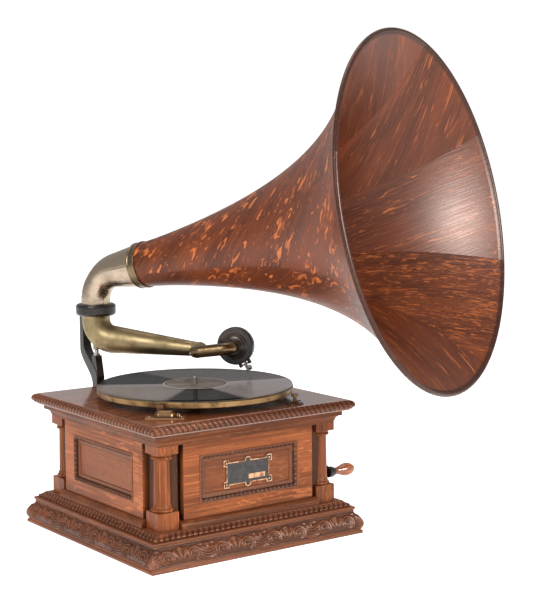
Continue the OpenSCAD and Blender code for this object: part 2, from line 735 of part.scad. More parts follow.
module governor_disc() {
  color(brass) along_governor(gov_disc_y) difference() {
    union() {
      cylinder(r = gov_disc_r, h = 2);
      translate([0, 0, -5]) cylinder(r = 6, h = 5);
    }
    translate([0, 0, -6]) cylinder(r = gov_shaft_r + run, h = 10);
  }
}

// Speed regulator

module speed_dial() {
  color(brass) translate([knob_x, knob_y, lid_z1]) difference() {
    union() {
      cylinder(r = 13, h = 1.2);
      translate([0, 0, 1.2 - eps]) cylinder(r = 5, h = 1.6);
    }
    translate([0, 0, -1]) cylinder(r = 2.5 + run, h = 6);
  }
}

module speed_knob() {
  top = lid_z1 + 15.5;
  color(nickel) translate([knob_x, knob_y, 0]) {
    translate([0, 0, bed_z - 1]) cylinder(r = 2.5, h = top - bed_z);
    rotate([0, 0, lever_a]) translate([-knob_cam, 0, bed_z - 8]) cylinder(r = 1.8, h = 9);
    translate([0, 0, bed_z - 1]) cylinder(r = 4, h = 3);
    translate([0, 0, top - 4]) difference() {
      cylinder(r = 5.5, h = 4);
      for (i = [0 : 19]) rotate([0, 0, 18 * i]) translate([5.7, 0, -1]) cylinder(r = 0.45, h = 8);
    }
    translate([0, 0, lid_z1 + 3.2]) cylinder(r = 3.5, h = 2.5);
    translate([0, -0.9, lid_z1 + 3.2]) cube([11, 1.8, 1.2]);
  }
}

// Lever that the knob's cam swings towards the governor's disc
module regulator_arm() {
  reach = norm([knob_x - lever_x, knob_y - lever_y]);
  pad_y = gov_disc_y - 2 - pad_gap;
  color(steel) {
    translate([lever_x, lever_y, plate_z]) cylinder(r = 3, h = bed_z + bed_t - plate_z);
    translate([lever_x, lever_y, bed_z - 7]) rotate([0, 0, lever_a]) difference() {
      translate([0, -3.2, 0]) cube([reach + 0.5, 6.4, 4]);
      translate([reach - 5, -2.1, -1]) cube([12, 4.2, 6]);
    }
    translate([lever_x, lever_y, gov_z + 8]) cylinder(r = 5, h = 6);
    translate([10, pad_y - 5, gov_z + 8]) cube([lever_x - 10, 4, 6]);
    translate([10, pad_y - 1 - eps, gov_z + 6]) cube([8, 1 + eps, 9]);
  }
}

// Brake

module brake_frame() { at_spindle(lid_z1) rotate([0, 0, brake_a]) translate([brake_r, 0, 0]) rotate([0, 0, 12]) children(); }

module brake_plate() {
  color(brass) brake_frame() {
    difference() {
      translate([-8, -27, 0]) cube([16, 56, 1.5]);
      for (y = [-22, 24]) translate([0, y, -1]) cylinder(r = 1.6, h = 4);
    }
    translate([0, 10, 1.5 - eps]) cylinder(r = 2.5, h = 8);
    for (y = [-22, 24]) translate([0, y, 0]) cylinder(r = 1.6 - run, h = 2.4);
  }
}

module brake_lever() {
  shoe = brake_r - rim_r;
  color([0.66, 0.42, 0.28]) difference() {
    brake_frame() union() {
      translate([0, 10, 2]) cylinder(r = 5.5, h = 5);
      for (y = [-6, 8]) translate([0, y, 3]) sphere(r = 8.5);
      translate([0, -6, 3]) rotate([-90, 0, 0]) cylinder(r = 8.45, h = 14);
      translate([-shoe, -11, 3]) cube([shoe, 9, 4]);
      translate([-shoe, -11, 3]) cube([9, 9, 14]);
      translate([7.5, 21, 5]) sphere(r = 4);
      translate([0, 10, 4]) rotate([0, 0, 55]) translate([0, -2, 0]) cube([14, 4, 3]);
    }
    brake_frame() translate([-30, -40, -8]) cube([60, 80, 10.5]);
    brake_frame() translate([0, 10, -1]) cylinder(r = 2.5 + run, h = 16);
    at_spindle(lid_z1 - 1) cylinder(r = rim_r + 0.6, h = 40, $fn = 128);
  }
}

// Crank

module winding_shaft() {
  color(steel) translate([0, crank_y, crank_z]) rotate([0, 90, 0]) {
    translate([0, 0, wind_x - 5]) cylinder(r = wind_shaft_r, h = crank_x - wind_x + 9);
    translate([0, 0, wind_x - 4]) rotate([0, 0, 180 + 180 / wind_pinion_n]) gear(wind_m, wind_pinion_n, 8, 0.2);
  }
}

module crank_arm() {
  color(iron) translate([0, crank_y, crank_z]) rotate([crank_drop, 0, 0]) difference() {
    union() {
      translate([crank_x - 10, 0, 0]) rotate([0, 90, 0]) cylinder(r = 9, h = 16);
      translate([crank_x - 1, -crank_throw, -6]) cube([6, crank_throw, 12]);
      translate([crank_x - 1, -crank_throw, 0]) rotate([0, 90, 0]) cylinder(r = 8.5, h = 7);
      translate([crank_x + 5, -crank_throw, 0]) rotate([0, 90, 0]) cylinder(r = 3, h = grip_len - 6);
    }
    translate([crank_x - 12, 0, 0]) rotate([0, 90, 0]) cylinder(r = wind_shaft_r + run, h = 16 + run);
  }
}

// Turned pear-shaped handle
module crank_grip() {
  r = grip_d / 2;
  belly = grip_len * 0.62;
  color(oak) translate([grip_x, grip_y, grip_z]) rotate([0, 90, 0]) rotate_extrude()
    polygon(concat([[3 + run, seat], [6.5, seat], [6.5, 4], [5.2, 5.5]],
      [for (i = [1 : 9]) let (t = i / 10) [5.2 + (r - 5.2) * smooth(t), 5.5 + (belly - 5.5) * t]],
      [for (i = [0 : 9]) let (a = 90 * i / 10) [r * cos(a), belly + (grip_len - belly) * sin(a)]],
      [[0, grip_len], [0, grip_len - 6.5], [3 + run, grip_len - 6.5]]));
}

// Bracket behind the cabinet

module bracket_block() {
  color(oak_dark) difference() {
    translate([collar_x - 26, half, pad_z0]) cube([52, leg_y - half, pad_z1 - pad_z0]);
    at_bolts() cylinder(r = 3 + run, h = 80);
  }
}

module at_bolts() {
  for (z = [pad_z0 + 14, pad_z1 - 14]) for (x = [-1, 1]) translate([collar_x + 13.5 * x, leg_y + 8, z]) rotate([90, 0, 0]) children();
}

// How far the strut's back and front edges stand behind the collar's axis at height z
function strut_back(z) = 3.3 + (collar_r + 7) * smooth(min(1, max(0, (z - lid_z1) / 55)));
function strut_front(z) = -11 + (collar_r + 10) * smooth(min(1, max(0, (z - lid_z1 - 13) / 50)));

module horn_bracket() {
  z0 = pad_z0 + 20;
  z1 = collar_z1 - 3;
  foot_z = lid_z1 + 13;
  post_z = lug_z - 15;
  steps = 24;
  color(iron) difference() {
    union() {
      translate([collar_x - 7, collar_y, 0]) rotate([90, 0, 90]) linear_extrude(height = 14) polygon(concat(
        [[-11, z0], [3.3, z0]],
        [for (i = [0 : steps]) let (z = lid_z1 + (z1 - lid_z1) * i / steps) [strut_back(z), z]],
        [for (i = [steps : -1 : 0]) let (z = foot_z + (z1 - foot_z) * i / steps) [strut_front(z), z]]));
      translate([collar_x - 6, collar_y, 0]) rotate([90, 0, 90]) linear_extrude(height = 12)
        polygon([[-11, lid_z1 + 1], [-13, foot_z], [-5.5, post_z], [5.5, post_z], [5.5, foot_z]]);
      translate([collar_x, collar_y, post_z - 22]) cylinder(r = 6.4, h = 22);
      translate([collar_x - 20, leg_y, pad_z0]) cube([40, 8, pad_z1 - pad_z0]);
      translate([collar_x, collar_y + collar_r + 4.6, z1 - 2]) cylinder(r = 3.6, h = 6);
      translate([collar_x, collar_y, collar_z]) rotate_extrude() polygon(concat([[collar_bore_r + 1, 0]],
        arc(collar_r - 5, 5, 5, -90, 0, 5), arc(collar_r - 5, collar_h - 5, 5, 0, 90, 5), [[collar_bore_r + 1, collar_h]]));
    }
    translate([collar_x, collar_y, collar_z - 1]) cylinder(r = collar_bore_r, h = collar_h + 2);
    translate([collar_x, collar_y, lid_z1 + 10]) cylinder(r = 3.5 + run, h = 60);
    at_bolts() cylinder(r = 3 + run, h = 12);
  }
}

module bracket_bolts() {
  color(steel) at_bolts() {
    cylinder(r = 3, h = leg_y + 8 - inner_half + 5);
    translate([0, 0, -4]) cylinder(r = 5.8, h = 4, $fn = 6);
    translate([0, 0, leg_y + 8 - inner_half]) cylinder(r = 5.8, h = 4, $fn = 6);
  }
}

// Screw whose point carries the arm
module arm_pivot_screw() {
  color(brass) translate([collar_x, collar_y, 0]) {
    translate([0, 0, lid_z1 + 12]) cylinder(r = 3.5, h = lug_z - lid_z1 - 20);
    translate([0, 0, lug_z - 8 - eps]) cylinder(r1 = 3.5, r2 = 1, h = 4.7);
    translate([0, 0, lug_z - 14.7]) difference() {
      cylinder(r = 6, h = 2.5, $fn = 6);
      translate([0, 0, -1]) cylinder(r = 3.4, h = 5);
    }
  }
}

// Tone arm

// The arm's tube, thin mm inside its outer surface, its cone ending short mm before the gooseneck's joint
module arm_solid(thin, short) {
  r = elbow_r - thin;
  end_r = arm_tip_r - thin + (elbow_r - arm_tip_r) * short / arm_len;
  translate([0, 0, arm_bend_z]) rotate_extrude() polygon([[0, 0], [r, 0], [r, 3], [r + 1, 7], [r + 1, 9.5], [0, 9.5]]);
  translate([0, 0, arm_bend_z]) mirror([0, 0, 1]) bend(r, arm_bend, arm_turn);
  translate([arm_start_x, 0, arm_start_z]) rotate([0, 90 + arm_slope, 0]) translate([0, 0, -1])
    cylinder(r1 = r - 0.05, r2 = end_r, h = arm_len + 1 - short);
}

module tonearm() {
  color(brass) arm_frame() difference() {
    union() {
      arm_solid(0, 0);
      translate([0, 0, collar_z + 1]) cylinder(r = sleeve_r, h = 8);
      translate([arm_reach, 0, joint_z]) sphere(r = socket_r);
      translate([arm_reach, 0, joint_z]) rotate([90, 0, 0]) cylinder(r = socket_r - 0.1, h = 14);
      translate([0, 0, lug_z - 5]) cylinder(r = 5.5, h = 10);
    }
    translate([0, 0, collar_z]) cylinder(r = tube_r - tube_wall, h = 12);
    arm_solid(tube_wall, 16);
    translate([arm_reach, 0, joint_z]) rotate([0, 90 + arm_slope, 0]) translate([0, 0, -20]) cylinder(r = 6, h = 20);
    translate([arm_reach, neck_in + 0.5, joint_z]) rotate([90, 0, 0]) cylinder(r = goose_bore_r, h = 40);
    translate([0, 0, lug_z - 6]) cylinder(r = 4, h = 3);
  }
}

// U-shaped tube that carries the sound box beside the arm and lifts it back over the arm
module gooseneck() {
  color(brass) arm_frame() translate([arm_reach, 0, joint_z]) rotate([0, -goose_rise, 0]) difference() {
    goose_solid(goose_r, neck_in, 10);
    goose_solid(goose_r - 1.5, neck_in + 1, 9);
    translate([-goose_r - 2, 0, -1]) rotate([0, 90, 0]) cylinder(r = 6, h = goose_r + 2);
  }
}

module goose_solid(r, inset, stop) {
  far = goose_out - goose_bend;
  translate([0, inset, 0]) rotate([90, 0, 0]) cylinder(r = r, h = far + inset);
  translate([0, -far, 0]) rotate([90, 0, 0]) bend(r, goose_bend, 90);
  translate([goose_bend - eps, -goose_out, 0]) rotate([0, 90, 0]) cylinder(r = r, h = goose_run - 2 * goose_bend + 2 * eps);
  translate([goose_run, -far, 0]) mirror([1, 0, 0]) rotate([90, 0, 0]) bend(r, goose_bend, 90);
  translate([goose_run, -far, 0]) rotate([-90, 0, 0]) cylinder(r = r, h = far - stop);
}

// Sound box, in its own frame: the needle points down -Z, the hub looks along -Y

module revolve_on_y() { rotate([-90, 0, 0]) rotate_extrude() children(); }

module soundbox_shell() {
  color([0.17, 0.15, 0.14]) box_frame() {
    revolve_on_y() polygon([[5, -10], [goose_bore_r, -10], [goose_bore_r, -14], [12, -14], [13, -13], [13, -10], [16, -9], [17, -7], [20, -6.5], [21, -5],
      [box_r - 1.5, -5], [box_r, -3.5], [box_r, 4.5], [box_r - 1, 5.5], [box_r - 5, 5.5], [box_r - 5, 3.2],
      [box_r - 2, 3.2], [box_r - 2, -2.5], [5, -2.5]]);
    for (x = [-8, 8]) difference() {
      translate([x - 2, 0, -box_r - 5]) cube([4, 6, 8]);
      translate([x - 3, 3, -box_r - 2.5]) rotate([0, 90, 0]) cylinder(r = 1.2 + run, h = 6);
    }
  }
}

module soundbox_gaskets() {
  color([0.12, 0.10, 0.10]) box_frame() {
    revolve_on_y() polygon([[box_r - 6, -2.5], [box_r - 2.05, -2.5], [box_r - 2.05, 0], [box_r - 6, 0]]);
    revolve_on_y() polygon([[box_r - 6, 0.6], [box_r - 2.05, 0.6], [box_r - 2.05, 3.2], [box_r - 6, 3.2]]);
  }
}

module diaphragm() {
  color([0.80, 0.77, 0.68]) box_frame() revolve_on_y() polygon([[0, 0], [box_r - 2.3, 0], [box_r - 2.3, 0.6], [0, 0.6]]);
}

// Lever from the middle of the diaphragm, over the rim, to the needle's socket
module needle_bar() {
  pivot = box_r + 2.5;
  color(iron) box_frame() {
    translate([0, 0.6 + seat, 0]) rotate([-90, 0, 0]) cylinder(r = 1.6, h = 8);
    translate([-1.2, 6.8, -pivot - 1]) cube([2.4, 1.8, pivot + 2.6]);
    translate([-1.6, 1.2, -pivot - 2]) cube([3.2, 7.4, 4]);
    translate([-11, 3, -pivot]) rotate([0, 90, 0]) cylinder(r = 1.2, h = 22);
    difference() {
      translate([0, 3, -pivot - 12]) cylinder(r = 2.6, h = 11);
      translate([0, 3, -pivot - 13]) cylinder(r = 0.8 + run, h = 9);
      translate([0, 3, -pivot - 8]) rotate([0, 90, 0]) cylinder(r = 1 + run, h = 5);
    }
  }
}

module needle() {
  top = box_r + 7;
  color("silver") box_frame() translate([0, 3, 0]) {
    translate([0, 0, -needle_tip + 7]) cylinder(r = 0.8, h = needle_tip - 7 - top);
    translate([0, 0, -needle_tip]) cylinder(r1 = 0.1, r2 = 0.8, h = 7 + eps);
  }
}

module needle_screw() {
  pivot = box_r + 2.5;
  color(iron) box_frame() translate([0, 3, -pivot - 8]) rotate([0, 90, 0]) {
    translate([0, 0, 0.8 + seat]) cylinder(r = 1, h = 4);
    translate([0, 0, 3.2]) cylinder(r = 4, h = 3.5);
  }
}

// Horn

// Outer radius of the wooden horn, s beyond its throat
function flare(s) = flare_r * exp(flare_rate * s) + (throat_r - flare_r) * exp(-s / 25) + lip_extra * pow(s / horn_len, flare_power);

// The elbow's centre line, d along it from its foot in the collar: a short rise, the bend, and on to the throat
elbow_foot = collar_z1 - 1;
elbow_rise = horn_bend_z - elbow_foot;
elbow_arc = horn_bend * horn_turn * PI / 180;
elbow_len = elbow_rise + elbow_arc + throat_s - horn_tangent;
function elbow_angle(d) = min(horn_turn, max(0, (d - elbow_rise) / elbow_arc * horn_turn));
function elbow_at(d) = let (a = elbow_angle(d), over = max(0, d - elbow_rise - elbow_arc))
  [horn_bend * (1 - cos(a)) + over * sin(a),
   elbow_foot + min(d, elbow_rise) + horn_bend * sin(a) + over * cos(a)];
function elbow_radius(d) = tube_r + (throat_r - tube_r) * pow(max(0, d - elbow_rise - elbow_arc / 2) / (elbow_len - elbow_rise - elbow_arc / 2), 1.2);

function elbow_ring(d, thin, sides, past) = let (p = elbow_at(d), a = elbow_angle(d), r = elbow_radius(d) - thin)
  [for (k = [0 : sides - 1]) let (w = 360 * k / sides, u = r * cos(w))
    [p[0] + u * cos(a) + past * sin(a), r * sin(w), p[1] - u * sin(a) + past * cos(a)]];

// Solid bounded by rings round the centre line, thin mm inside the tube and past mm beyond both its ends
module elbow_skin(thin, past) {
  sides = 40;
  bends = 12;
  stations = concat([0], [for (i = [0 : bends]) elbow_rise + elbow_arc * i / bends], [elbow_len]);
  last = len(stations) - 1;
  points = [for (i = [0 : last]) each elbow_ring(stations[i], thin, sides, i == 0 ? -past : i == last ? past : 0)];
  polyhedron(points, concat([[for (k = [0 : sides - 1]) k]], [[for (k = [sides - 1 : -1 : 0]) last * sides + k]],
    [for (i = [0 : last - 1]) for (k = [0 : sides - 1]) let (n = (k + 1) % sides)
      [i * sides + k, (i + 1) * sides + k, (i + 1) * sides + n, i * sides + n]]));
}

module horn_elbow() {
  color(nickel) horn_frame() {
    difference() {
      elbow_skin(0, 0);
      elbow_skin(tube_wall, 1);
    }
    translate([0, 0, collar_z1 - 6]) difference() {
      cylinder(r = sleeve_r, h = 6);
      translate([0, 0, -1]) cylinder(r = tube_r - tube_wall - 0.5, h = 8);
    }
  }
}

module horn_ferrule() {
  z0 = -5;
  z1 = 9.5;
  color(brass) horn_axis(throat_s) rotate_extrude() polygon([[throat_r + 0.1, z0], [throat_r + 0.1, 0],
    [flare(z1) + 0.1, z1], [flare(z1) + 1.6, z1], [flare(z1) + 1.9, z1 - 1.5], [flare(z1) + 1.3, z1 - 3],
    [throat_r + 1.4, z0 + 3], [throat_r + 2, z0 + 1.5], [throat_r + 1.6, z0]]);
}

module horn_flare() {
  steps = 36;
  glue = 0.03;    // angle left between neighbouring staves
  section = concat(
    [for (i = [0 : steps]) let (s = seat + (horn_len - 6 - seat) * (1 - pow(1 - i / steps, 1.5))) [flare(s), s]],
    arc(bell_r - 2.5, horn_len + 0.5, 3.7, -80, 165, 9),
    [for (i = [steps : -1 : 0]) let (s = seat + (horn_len - 6 - seat) * (1 - pow(1 - i / steps, 1.5)))
      [flare(s) - horn_wall * (s < 200 ? 1 : 1 - 0.1 * (s - 200) / horn_len) , s + (i == 0 ? 0 : 1.5 * s / horn_len)]]);
  color([0.52, 0.24, 0.13]) horn_axis(throat_s) for (i = [0 : staves - 1])
    rotate([0, 0, 25 + 360 * i / staves]) rotate_extrude(angle = 360 / staves - glue, $fn = 120) polygon(section);
}

base_board();
base_moulding();
base_band();
sill_rails();
column_front_left();
column_front_right();
column_back_left();
column_back_right();
corner_posts();
front_panel();
left_panel();
right_panel();
back_panel();
panel_mouldings();
cornice();
lid_board();
rope_edge();
nameplate();
crank_bush();
motor_bedplate();
motor_frame();
lid_screws();
bracket_block();
horn_bracket();
bracket_bolts();
arm_pivot_screw();
brake_plate();
speed_dial();
turntable_spindle();
governor_wheel();
platter();
felt_pad();
record();
spring_barrel();
great_wheel();
mainspring();
winding_arbor();
ratchet_pawl();
intermediate_wheel();
governor_shaft();
governor_weights();
governor_springs();
governor_disc();
speed_knob();
regulator_arm();
brake_lever();
winding_shaft();
crank_arm();
crank_grip();
tonearm();
gooseneck();
soundbox_shell();
diaphragm();
soundbox_gaskets();
needle_bar();
needle();
needle_screw();
horn_elbow();
horn_ferrule();
horn_flare();
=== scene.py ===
"""Horn gramophone: carving, veneer, finishes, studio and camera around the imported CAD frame."""

import math

import bpy
import numpy as np
from mathutils import Matrix, Vector


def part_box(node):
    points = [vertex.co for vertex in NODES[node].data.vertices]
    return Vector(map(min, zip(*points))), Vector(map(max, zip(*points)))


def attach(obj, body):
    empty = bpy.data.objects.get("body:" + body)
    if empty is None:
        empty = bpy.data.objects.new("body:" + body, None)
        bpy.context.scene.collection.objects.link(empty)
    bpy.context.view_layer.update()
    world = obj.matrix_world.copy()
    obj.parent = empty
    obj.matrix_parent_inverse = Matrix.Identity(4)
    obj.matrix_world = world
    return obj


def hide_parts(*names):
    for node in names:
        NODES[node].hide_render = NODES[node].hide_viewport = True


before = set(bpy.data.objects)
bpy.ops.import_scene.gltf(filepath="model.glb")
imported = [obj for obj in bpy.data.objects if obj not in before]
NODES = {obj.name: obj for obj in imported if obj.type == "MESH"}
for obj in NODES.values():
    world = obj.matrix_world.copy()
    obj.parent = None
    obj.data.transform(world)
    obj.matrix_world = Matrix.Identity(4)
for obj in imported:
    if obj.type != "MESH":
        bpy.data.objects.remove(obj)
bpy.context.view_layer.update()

MM = 0.001


# Mesh helpers; lengths are millimetres until mesh_object() turns them into metres

def mesh_object(name, verts, faces, uvs, relief):
    """A smooth mesh object; uvs holds one (u, v) in metres per face corner, relief one height per vertex."""
    mesh = bpy.data.meshes.new(name)
    mesh.from_pydata((np.asarray(verts, float) * MM).tolist(), [], np.asarray(faces).tolist())
    mesh.uv_layers.new(name="UVMap").data.foreach_set("uv", np.asarray(uvs, np.float32).ravel())
    heights = mesh.attributes.new("relief", "FLOAT", "POINT")
    heights.data.foreach_set("value", np.asarray(relief, np.float32))
    mesh.polygons.foreach_set("use_smooth", [True] * len(mesh.polygons))
    mesh.update()
    obj = bpy.data.objects.new(name, mesh)
    bpy.context.scene.collection.objects.link(obj)
    return obj


def grid_faces(rows, cols, start=0):
    """Quads of a grid of vertices numbered row by row from start."""
    i, j = np.meshgrid(np.arange(rows - 1), np.arange(cols - 1), indexing="ij")
    here = i * cols + j
    beyond = here + cols
    return np.stack([here, beyond, beyond + 1, here + 1], axis=-1).reshape(-1, 4) + start


def smoothstep(x, low, high):
    """0 below low, 1 above high and a smooth rise between them."""
    t = np.clip((x - low) / (high - low), 0, 1)
    return t * t * (3 - 2 * t)


def bump_at(x, centre, width):
    """A round ridge of height 1 and the given half width."""
    return np.sqrt(np.clip(1 - ((x - centre) / width) ** 2, 0, 1))


def lengths_along(profile):
    """Distance of each point of an outline from its first one, measured along it."""
    return np.concatenate([[0], np.cumsum(np.linalg.norm(np.diff(profile, axis=0), axis=1))])


def normals_of(profile):
    """Unit normals of an outline, to the right of the way it runs."""
    step = np.gradient(profile, axis=0)
    normal = np.stack([step[:, 1], -step[:, 0]], axis=1)
    return normal / np.linalg.norm(normal, axis=1, keepdims=True)


def refined(points, step):
    """The same outline with a point at least every step."""
    out = [points[0]]
    for a, b in zip(points[:-1], points[1:]):
        n = max(1, math.ceil(math.dist(a, b) / step))
        out += [(a[0] + (b[0] - a[0]) * k / n, a[1] + (b[1] - a[1]) * k / n) for k in range(1, n + 1)]
    return np.array(out, float)


# Driving sizes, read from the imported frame

def extent(node, end, axis):
    """Lower (0) or upper (1) end of a node's box along an axis, in mm."""
    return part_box(node)[end][axis] / MM


HALF = -extent("front_panel", 0, 1)
BASE_TOP = extent("base_band", 1, 2)
BAND_Z = extent("base_band", 0, 2)
BAND_STEP = 14.5
BASE_OUT = extent("base_band", 1, 0) + BAND_STEP
LID_OUT = extent("rope_edge", 1, 0)
ROPE_Z = (extent("rope_edge", 0, 2) + extent("rope_edge", 1, 2)) / 2
ROPE_R = (extent("rope_edge", 1, 2) - extent("rope_edge", 0, 2)) / 2


# Carved running mouldings

def mitred_frame(name, half_w, half_h, profile, relief, cell, places, replaced):
    """Rectangular frames of four mitred sides, carved as they run, one at each of the places.

    profile holds (distance outside the half_w by half_h rectangle, height) points. relief(s, t) is the
    carving's height in mm at s along the side from its middle and t along the profile. Every second side
    is mirrored, so that leaning ornament meets at the corners.
    """
    normal = normals_of(profile)
    run = lengths_along(profile)
    verts, faces, uvs, heights = [], [], [], []
    start = 0
    for place, side in [(place, side) for place in places for side in range(4)]:
        along, away = (half_w, half_h) if side % 2 == 0 else (half_h, half_w)
        count = 2 * round((along + profile[:, 0].mean()) / cell)
        u, t = np.meshgrid(np.linspace(-1, 1, count + 1), run, indexing="ij")
        s = u * (along + profile[:, 0])
        h = relief(-s if side % 2 else s, t)
        out = away + profile[:, 0] + normal[:, 0] * h
        up = profile[:, 1] + normal[:, 1] * h
        s = u * (along + profile[:, 0] + normal[:, 0] * h)
        turn = Matrix.Rotation(side * math.pi / 2, 4, "Z")
        local = np.stack([s, -out, up, np.ones_like(s)], axis=-1).reshape(-1, 4)
        verts.append((local @ np.array(place @ turn).T)[:, :3])
        quads = grid_faces(count + 1, len(run), start=start)
        uv = np.stack([s * MM + side * 0.61, t * MM + side * 0.23], axis=-1).reshape(-1, 2)
        uvs.append(uv[quads - start])
        heights.append(h.ravel())
        faces.append(quads)
        start += len(local)
    skin = [np.concatenate(part) for part in (verts, faces, uvs, heights)]
    obj = mesh_object(name, *skin)
    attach(obj, "cabinet")
    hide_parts(replaced)
    return obj


LEVEL = [Matrix.Identity(4)]
SWELL_BACK = 3
SWELL_RUN = 37.0
CELL = 94.0


def ridges(radius, first, last, period):
    """Rounded ridges side by side around a centre, from the first radius to the last."""
    inside = smoothstep(radius, first - 0.4, first + 0.4) * smoothstep(last - radius, -0.4, 0.4)
    return inside * np.abs(np.sin(math.pi * (radius - first) / period)) ** 0.7


def scrollwork(x, y):
    """Palmette between two fluted scrolls whose leaves sweep down to the cell's edges.

    x runs from -1 to 1 across the cell and y from 0 to 1 up the moulding. 0 is the ground, 1 the highest.
    """
    x = x * CELL / 2
    y = y * SWELL_RUN
    edge = CELL / 2
    mirrored = np.abs(x)

    fan_y = 5
    radius = np.hypot(x, y - fan_y)
    angle = np.abs(np.arctan2(x, y - fan_y))
    petals = np.abs(np.cos(angle * 6.6)) ** 0.7
    tips = smoothstep(29 - 5 * angle - radius, 0, 2.5)
    height = petals * smoothstep(radius, 6, 10) * tips * smoothstep(0.74 - angle, 0, 0.08)

    eye_x, eye_y = 22.5, 15.5
    radius = np.hypot(mirrored - eye_x, y - eye_y)
    angle = np.arctan2(y - eye_y, mirrored - eye_x)
    open_side = smoothstep(np.abs(np.arctan2(np.sin(angle + 2.0), np.cos(angle + 2.0))), 0.35, 0.75)
    scroll = ridges(radius - 1.2 * np.cos(angle - 1.2), 4.6, 13.4, 4.4) * open_side
    height = np.maximum(height, scroll)
    height = np.maximum(height, 0.9 * bump_at(radius, 0, 3.2))

    foot_x, foot_y = edge + 1.5, 32
    radius = np.hypot(mirrored - foot_x, y - foot_y)
    leaf = ridges(radius, 9, 31, 4.4) * smoothstep(np.hypot(mirrored - eye_x, y - eye_y), 13.2, 14.2)
    leaf = leaf * smoothstep(foot_y - y, 2, 6) * smoothstep(mirrored, 10, 15)
    height = np.maximum(height, 0.9 * leaf)

    drop = bump_at(np.hypot((mirrored - edge) / 0.62, y - 27), 0, 6.5)
    bud = bump_at(np.hypot(mirrored - 37, (y - 31) / 0.8), 0, 4)
    return np.maximum(height, np.maximum(drop, 0.8 * bud))


def base_outline():
    """Outline of the base moulding from plinth to upper fillet, and where its swell starts and ends."""
    foot, head = 6, BAND_Z - 5
    steps = 60
    swell = []
    for k in range(steps + 1):
        t = k / steps
        away = 8 * t ** 2.5 - 7 * math.sin(math.pi * t) * (1 - t)
        swell.append((BASE_OUT - SWELL_BACK - away, foot + (head - foot) * t))
    plinth = [(-62, 0), (-1.3, 0), (-0.5, 0.8), (-0.5, 4.0), (-1.2, 4.7)]
    fillet = [(-9.6, -3.5), (-9, -2.9), (-9, -0.6), (-9.6, 0), (-40, 0)]
    lower = refined([(BASE_OUT + x, z) for x, z in plinth] + [swell[0]], 8)
    upper = refined([swell[-1]] + [(BASE_OUT + x, BAND_Z + z) for x, z in fillet], 8)
    return np.concatenate([lower[:-1], swell, upper[1:]]), len(lower) - 1, len(lower) - 1 + steps


def carved_base():
    """Base moulding, its swell carved with palmettes and scrolls."""
    profile, first, last = base_outline()
    run = lengths_along(profile)
    low, high = run[first], run[last]
    side = BASE_OUT - SWELL_BACK
    cell = 2 * side / 4

    def relief(s, t):
        y = (t - low) / (high - low)
        x = ((s + side) / cell) % 1 * 2 - 1
        inside = smoothstep(y, 0.02, 0.09) * smoothstep(0.97 - y, 0, 0.06)
        mitre = smoothstep(side + 1 - np.abs(s), 0, 9)
        return -2.2 * inside * mitre * (1 - scrollwork(x, y))

    return mitred_frame("carved_base", 0, 0, profile, relief, 1.15, LEVEL, "base_moulding")


def leaf_band():
    """Cove over the base, carved with a close row of leaning tongues."""
    x, z, radius = BASE_OUT - BAND_STEP, BAND_Z + 12.5, 8
    angles = [math.radians(a) for a in range(270, 205, -4)]
    cove = [(x + radius * math.cos(a), z + radius * math.sin(a)) for a in angles]
    carved = refined(cove + [(BASE_OUT - 23, BASE_TOP)], 0.9)
    foot = [(BASE_OUT - 40, BAND_Z), (x, BAND_Z)]
    profile = np.concatenate([foot, carved, [(BASE_OUT - 60, BASE_TOP)]])
    run = lengths_along(profile)
    low, high = run[1], run[-2]

    def relief(s, t):
        y = (t - low) / (high - low)
        x = ((s - 7 * y) / 9.5) % 1 * 2 - 1
        tongue = np.abs(np.cos(math.pi * x / 2)) ** 0.6
        inside = smoothstep(y, 0, 0.1) * smoothstep(1 - y, 0, 0.12)
        return -1.5 * inside * (1 - tongue)

    return mitred_frame("leaf_band", 0, 0, profile, relief, 0.95, LEVEL, "base_band")


def rope_edge():
    """Half-round edge of the lid, cut as a laid rope."""
    angles = np.radians(np.linspace(-90, 90, 20))
    x = LID_OUT - ROPE_R
    # A hair inside the CAD's own edge
    radius = ROPE_R - 0.02
    round_edge = [(x + radius * math.cos(a), ROPE_Z + radius * math.sin(a)) for a in angles]
    profile = np.array([(x, ROPE_Z - ROPE_R)] + round_edge[1:-1] + [(x, ROPE_Z + ROPE_R)])
    length = math.pi * ROPE_R
    pitch = 2 * LID_OUT / 40

    def relief(s, t):
        across = t / length - 0.5
        strand = np.abs(np.cos(math.pi * (s / pitch + 1.15 * across)))
        return -2.4 * (1 - strand ** 0.5) * np.clip(np.cos(math.pi * across), 0, 1) ** 0.4

    return mitred_frame("rope_moulding", 0, 0, profile, relief, 0.62, LEVEL, "rope_edge")


PANEL_Z = (extent("panel_mouldings", 0, 2) + extent("panel_mouldings", 1, 2)) / 2
FRAME_HALF_H = (extent("panel_mouldings", 1, 2) - extent("panel_mouldings", 0, 2)) / 2
FRAME_HALF_W = 87.9
FIELD_DEPTH = 5.5


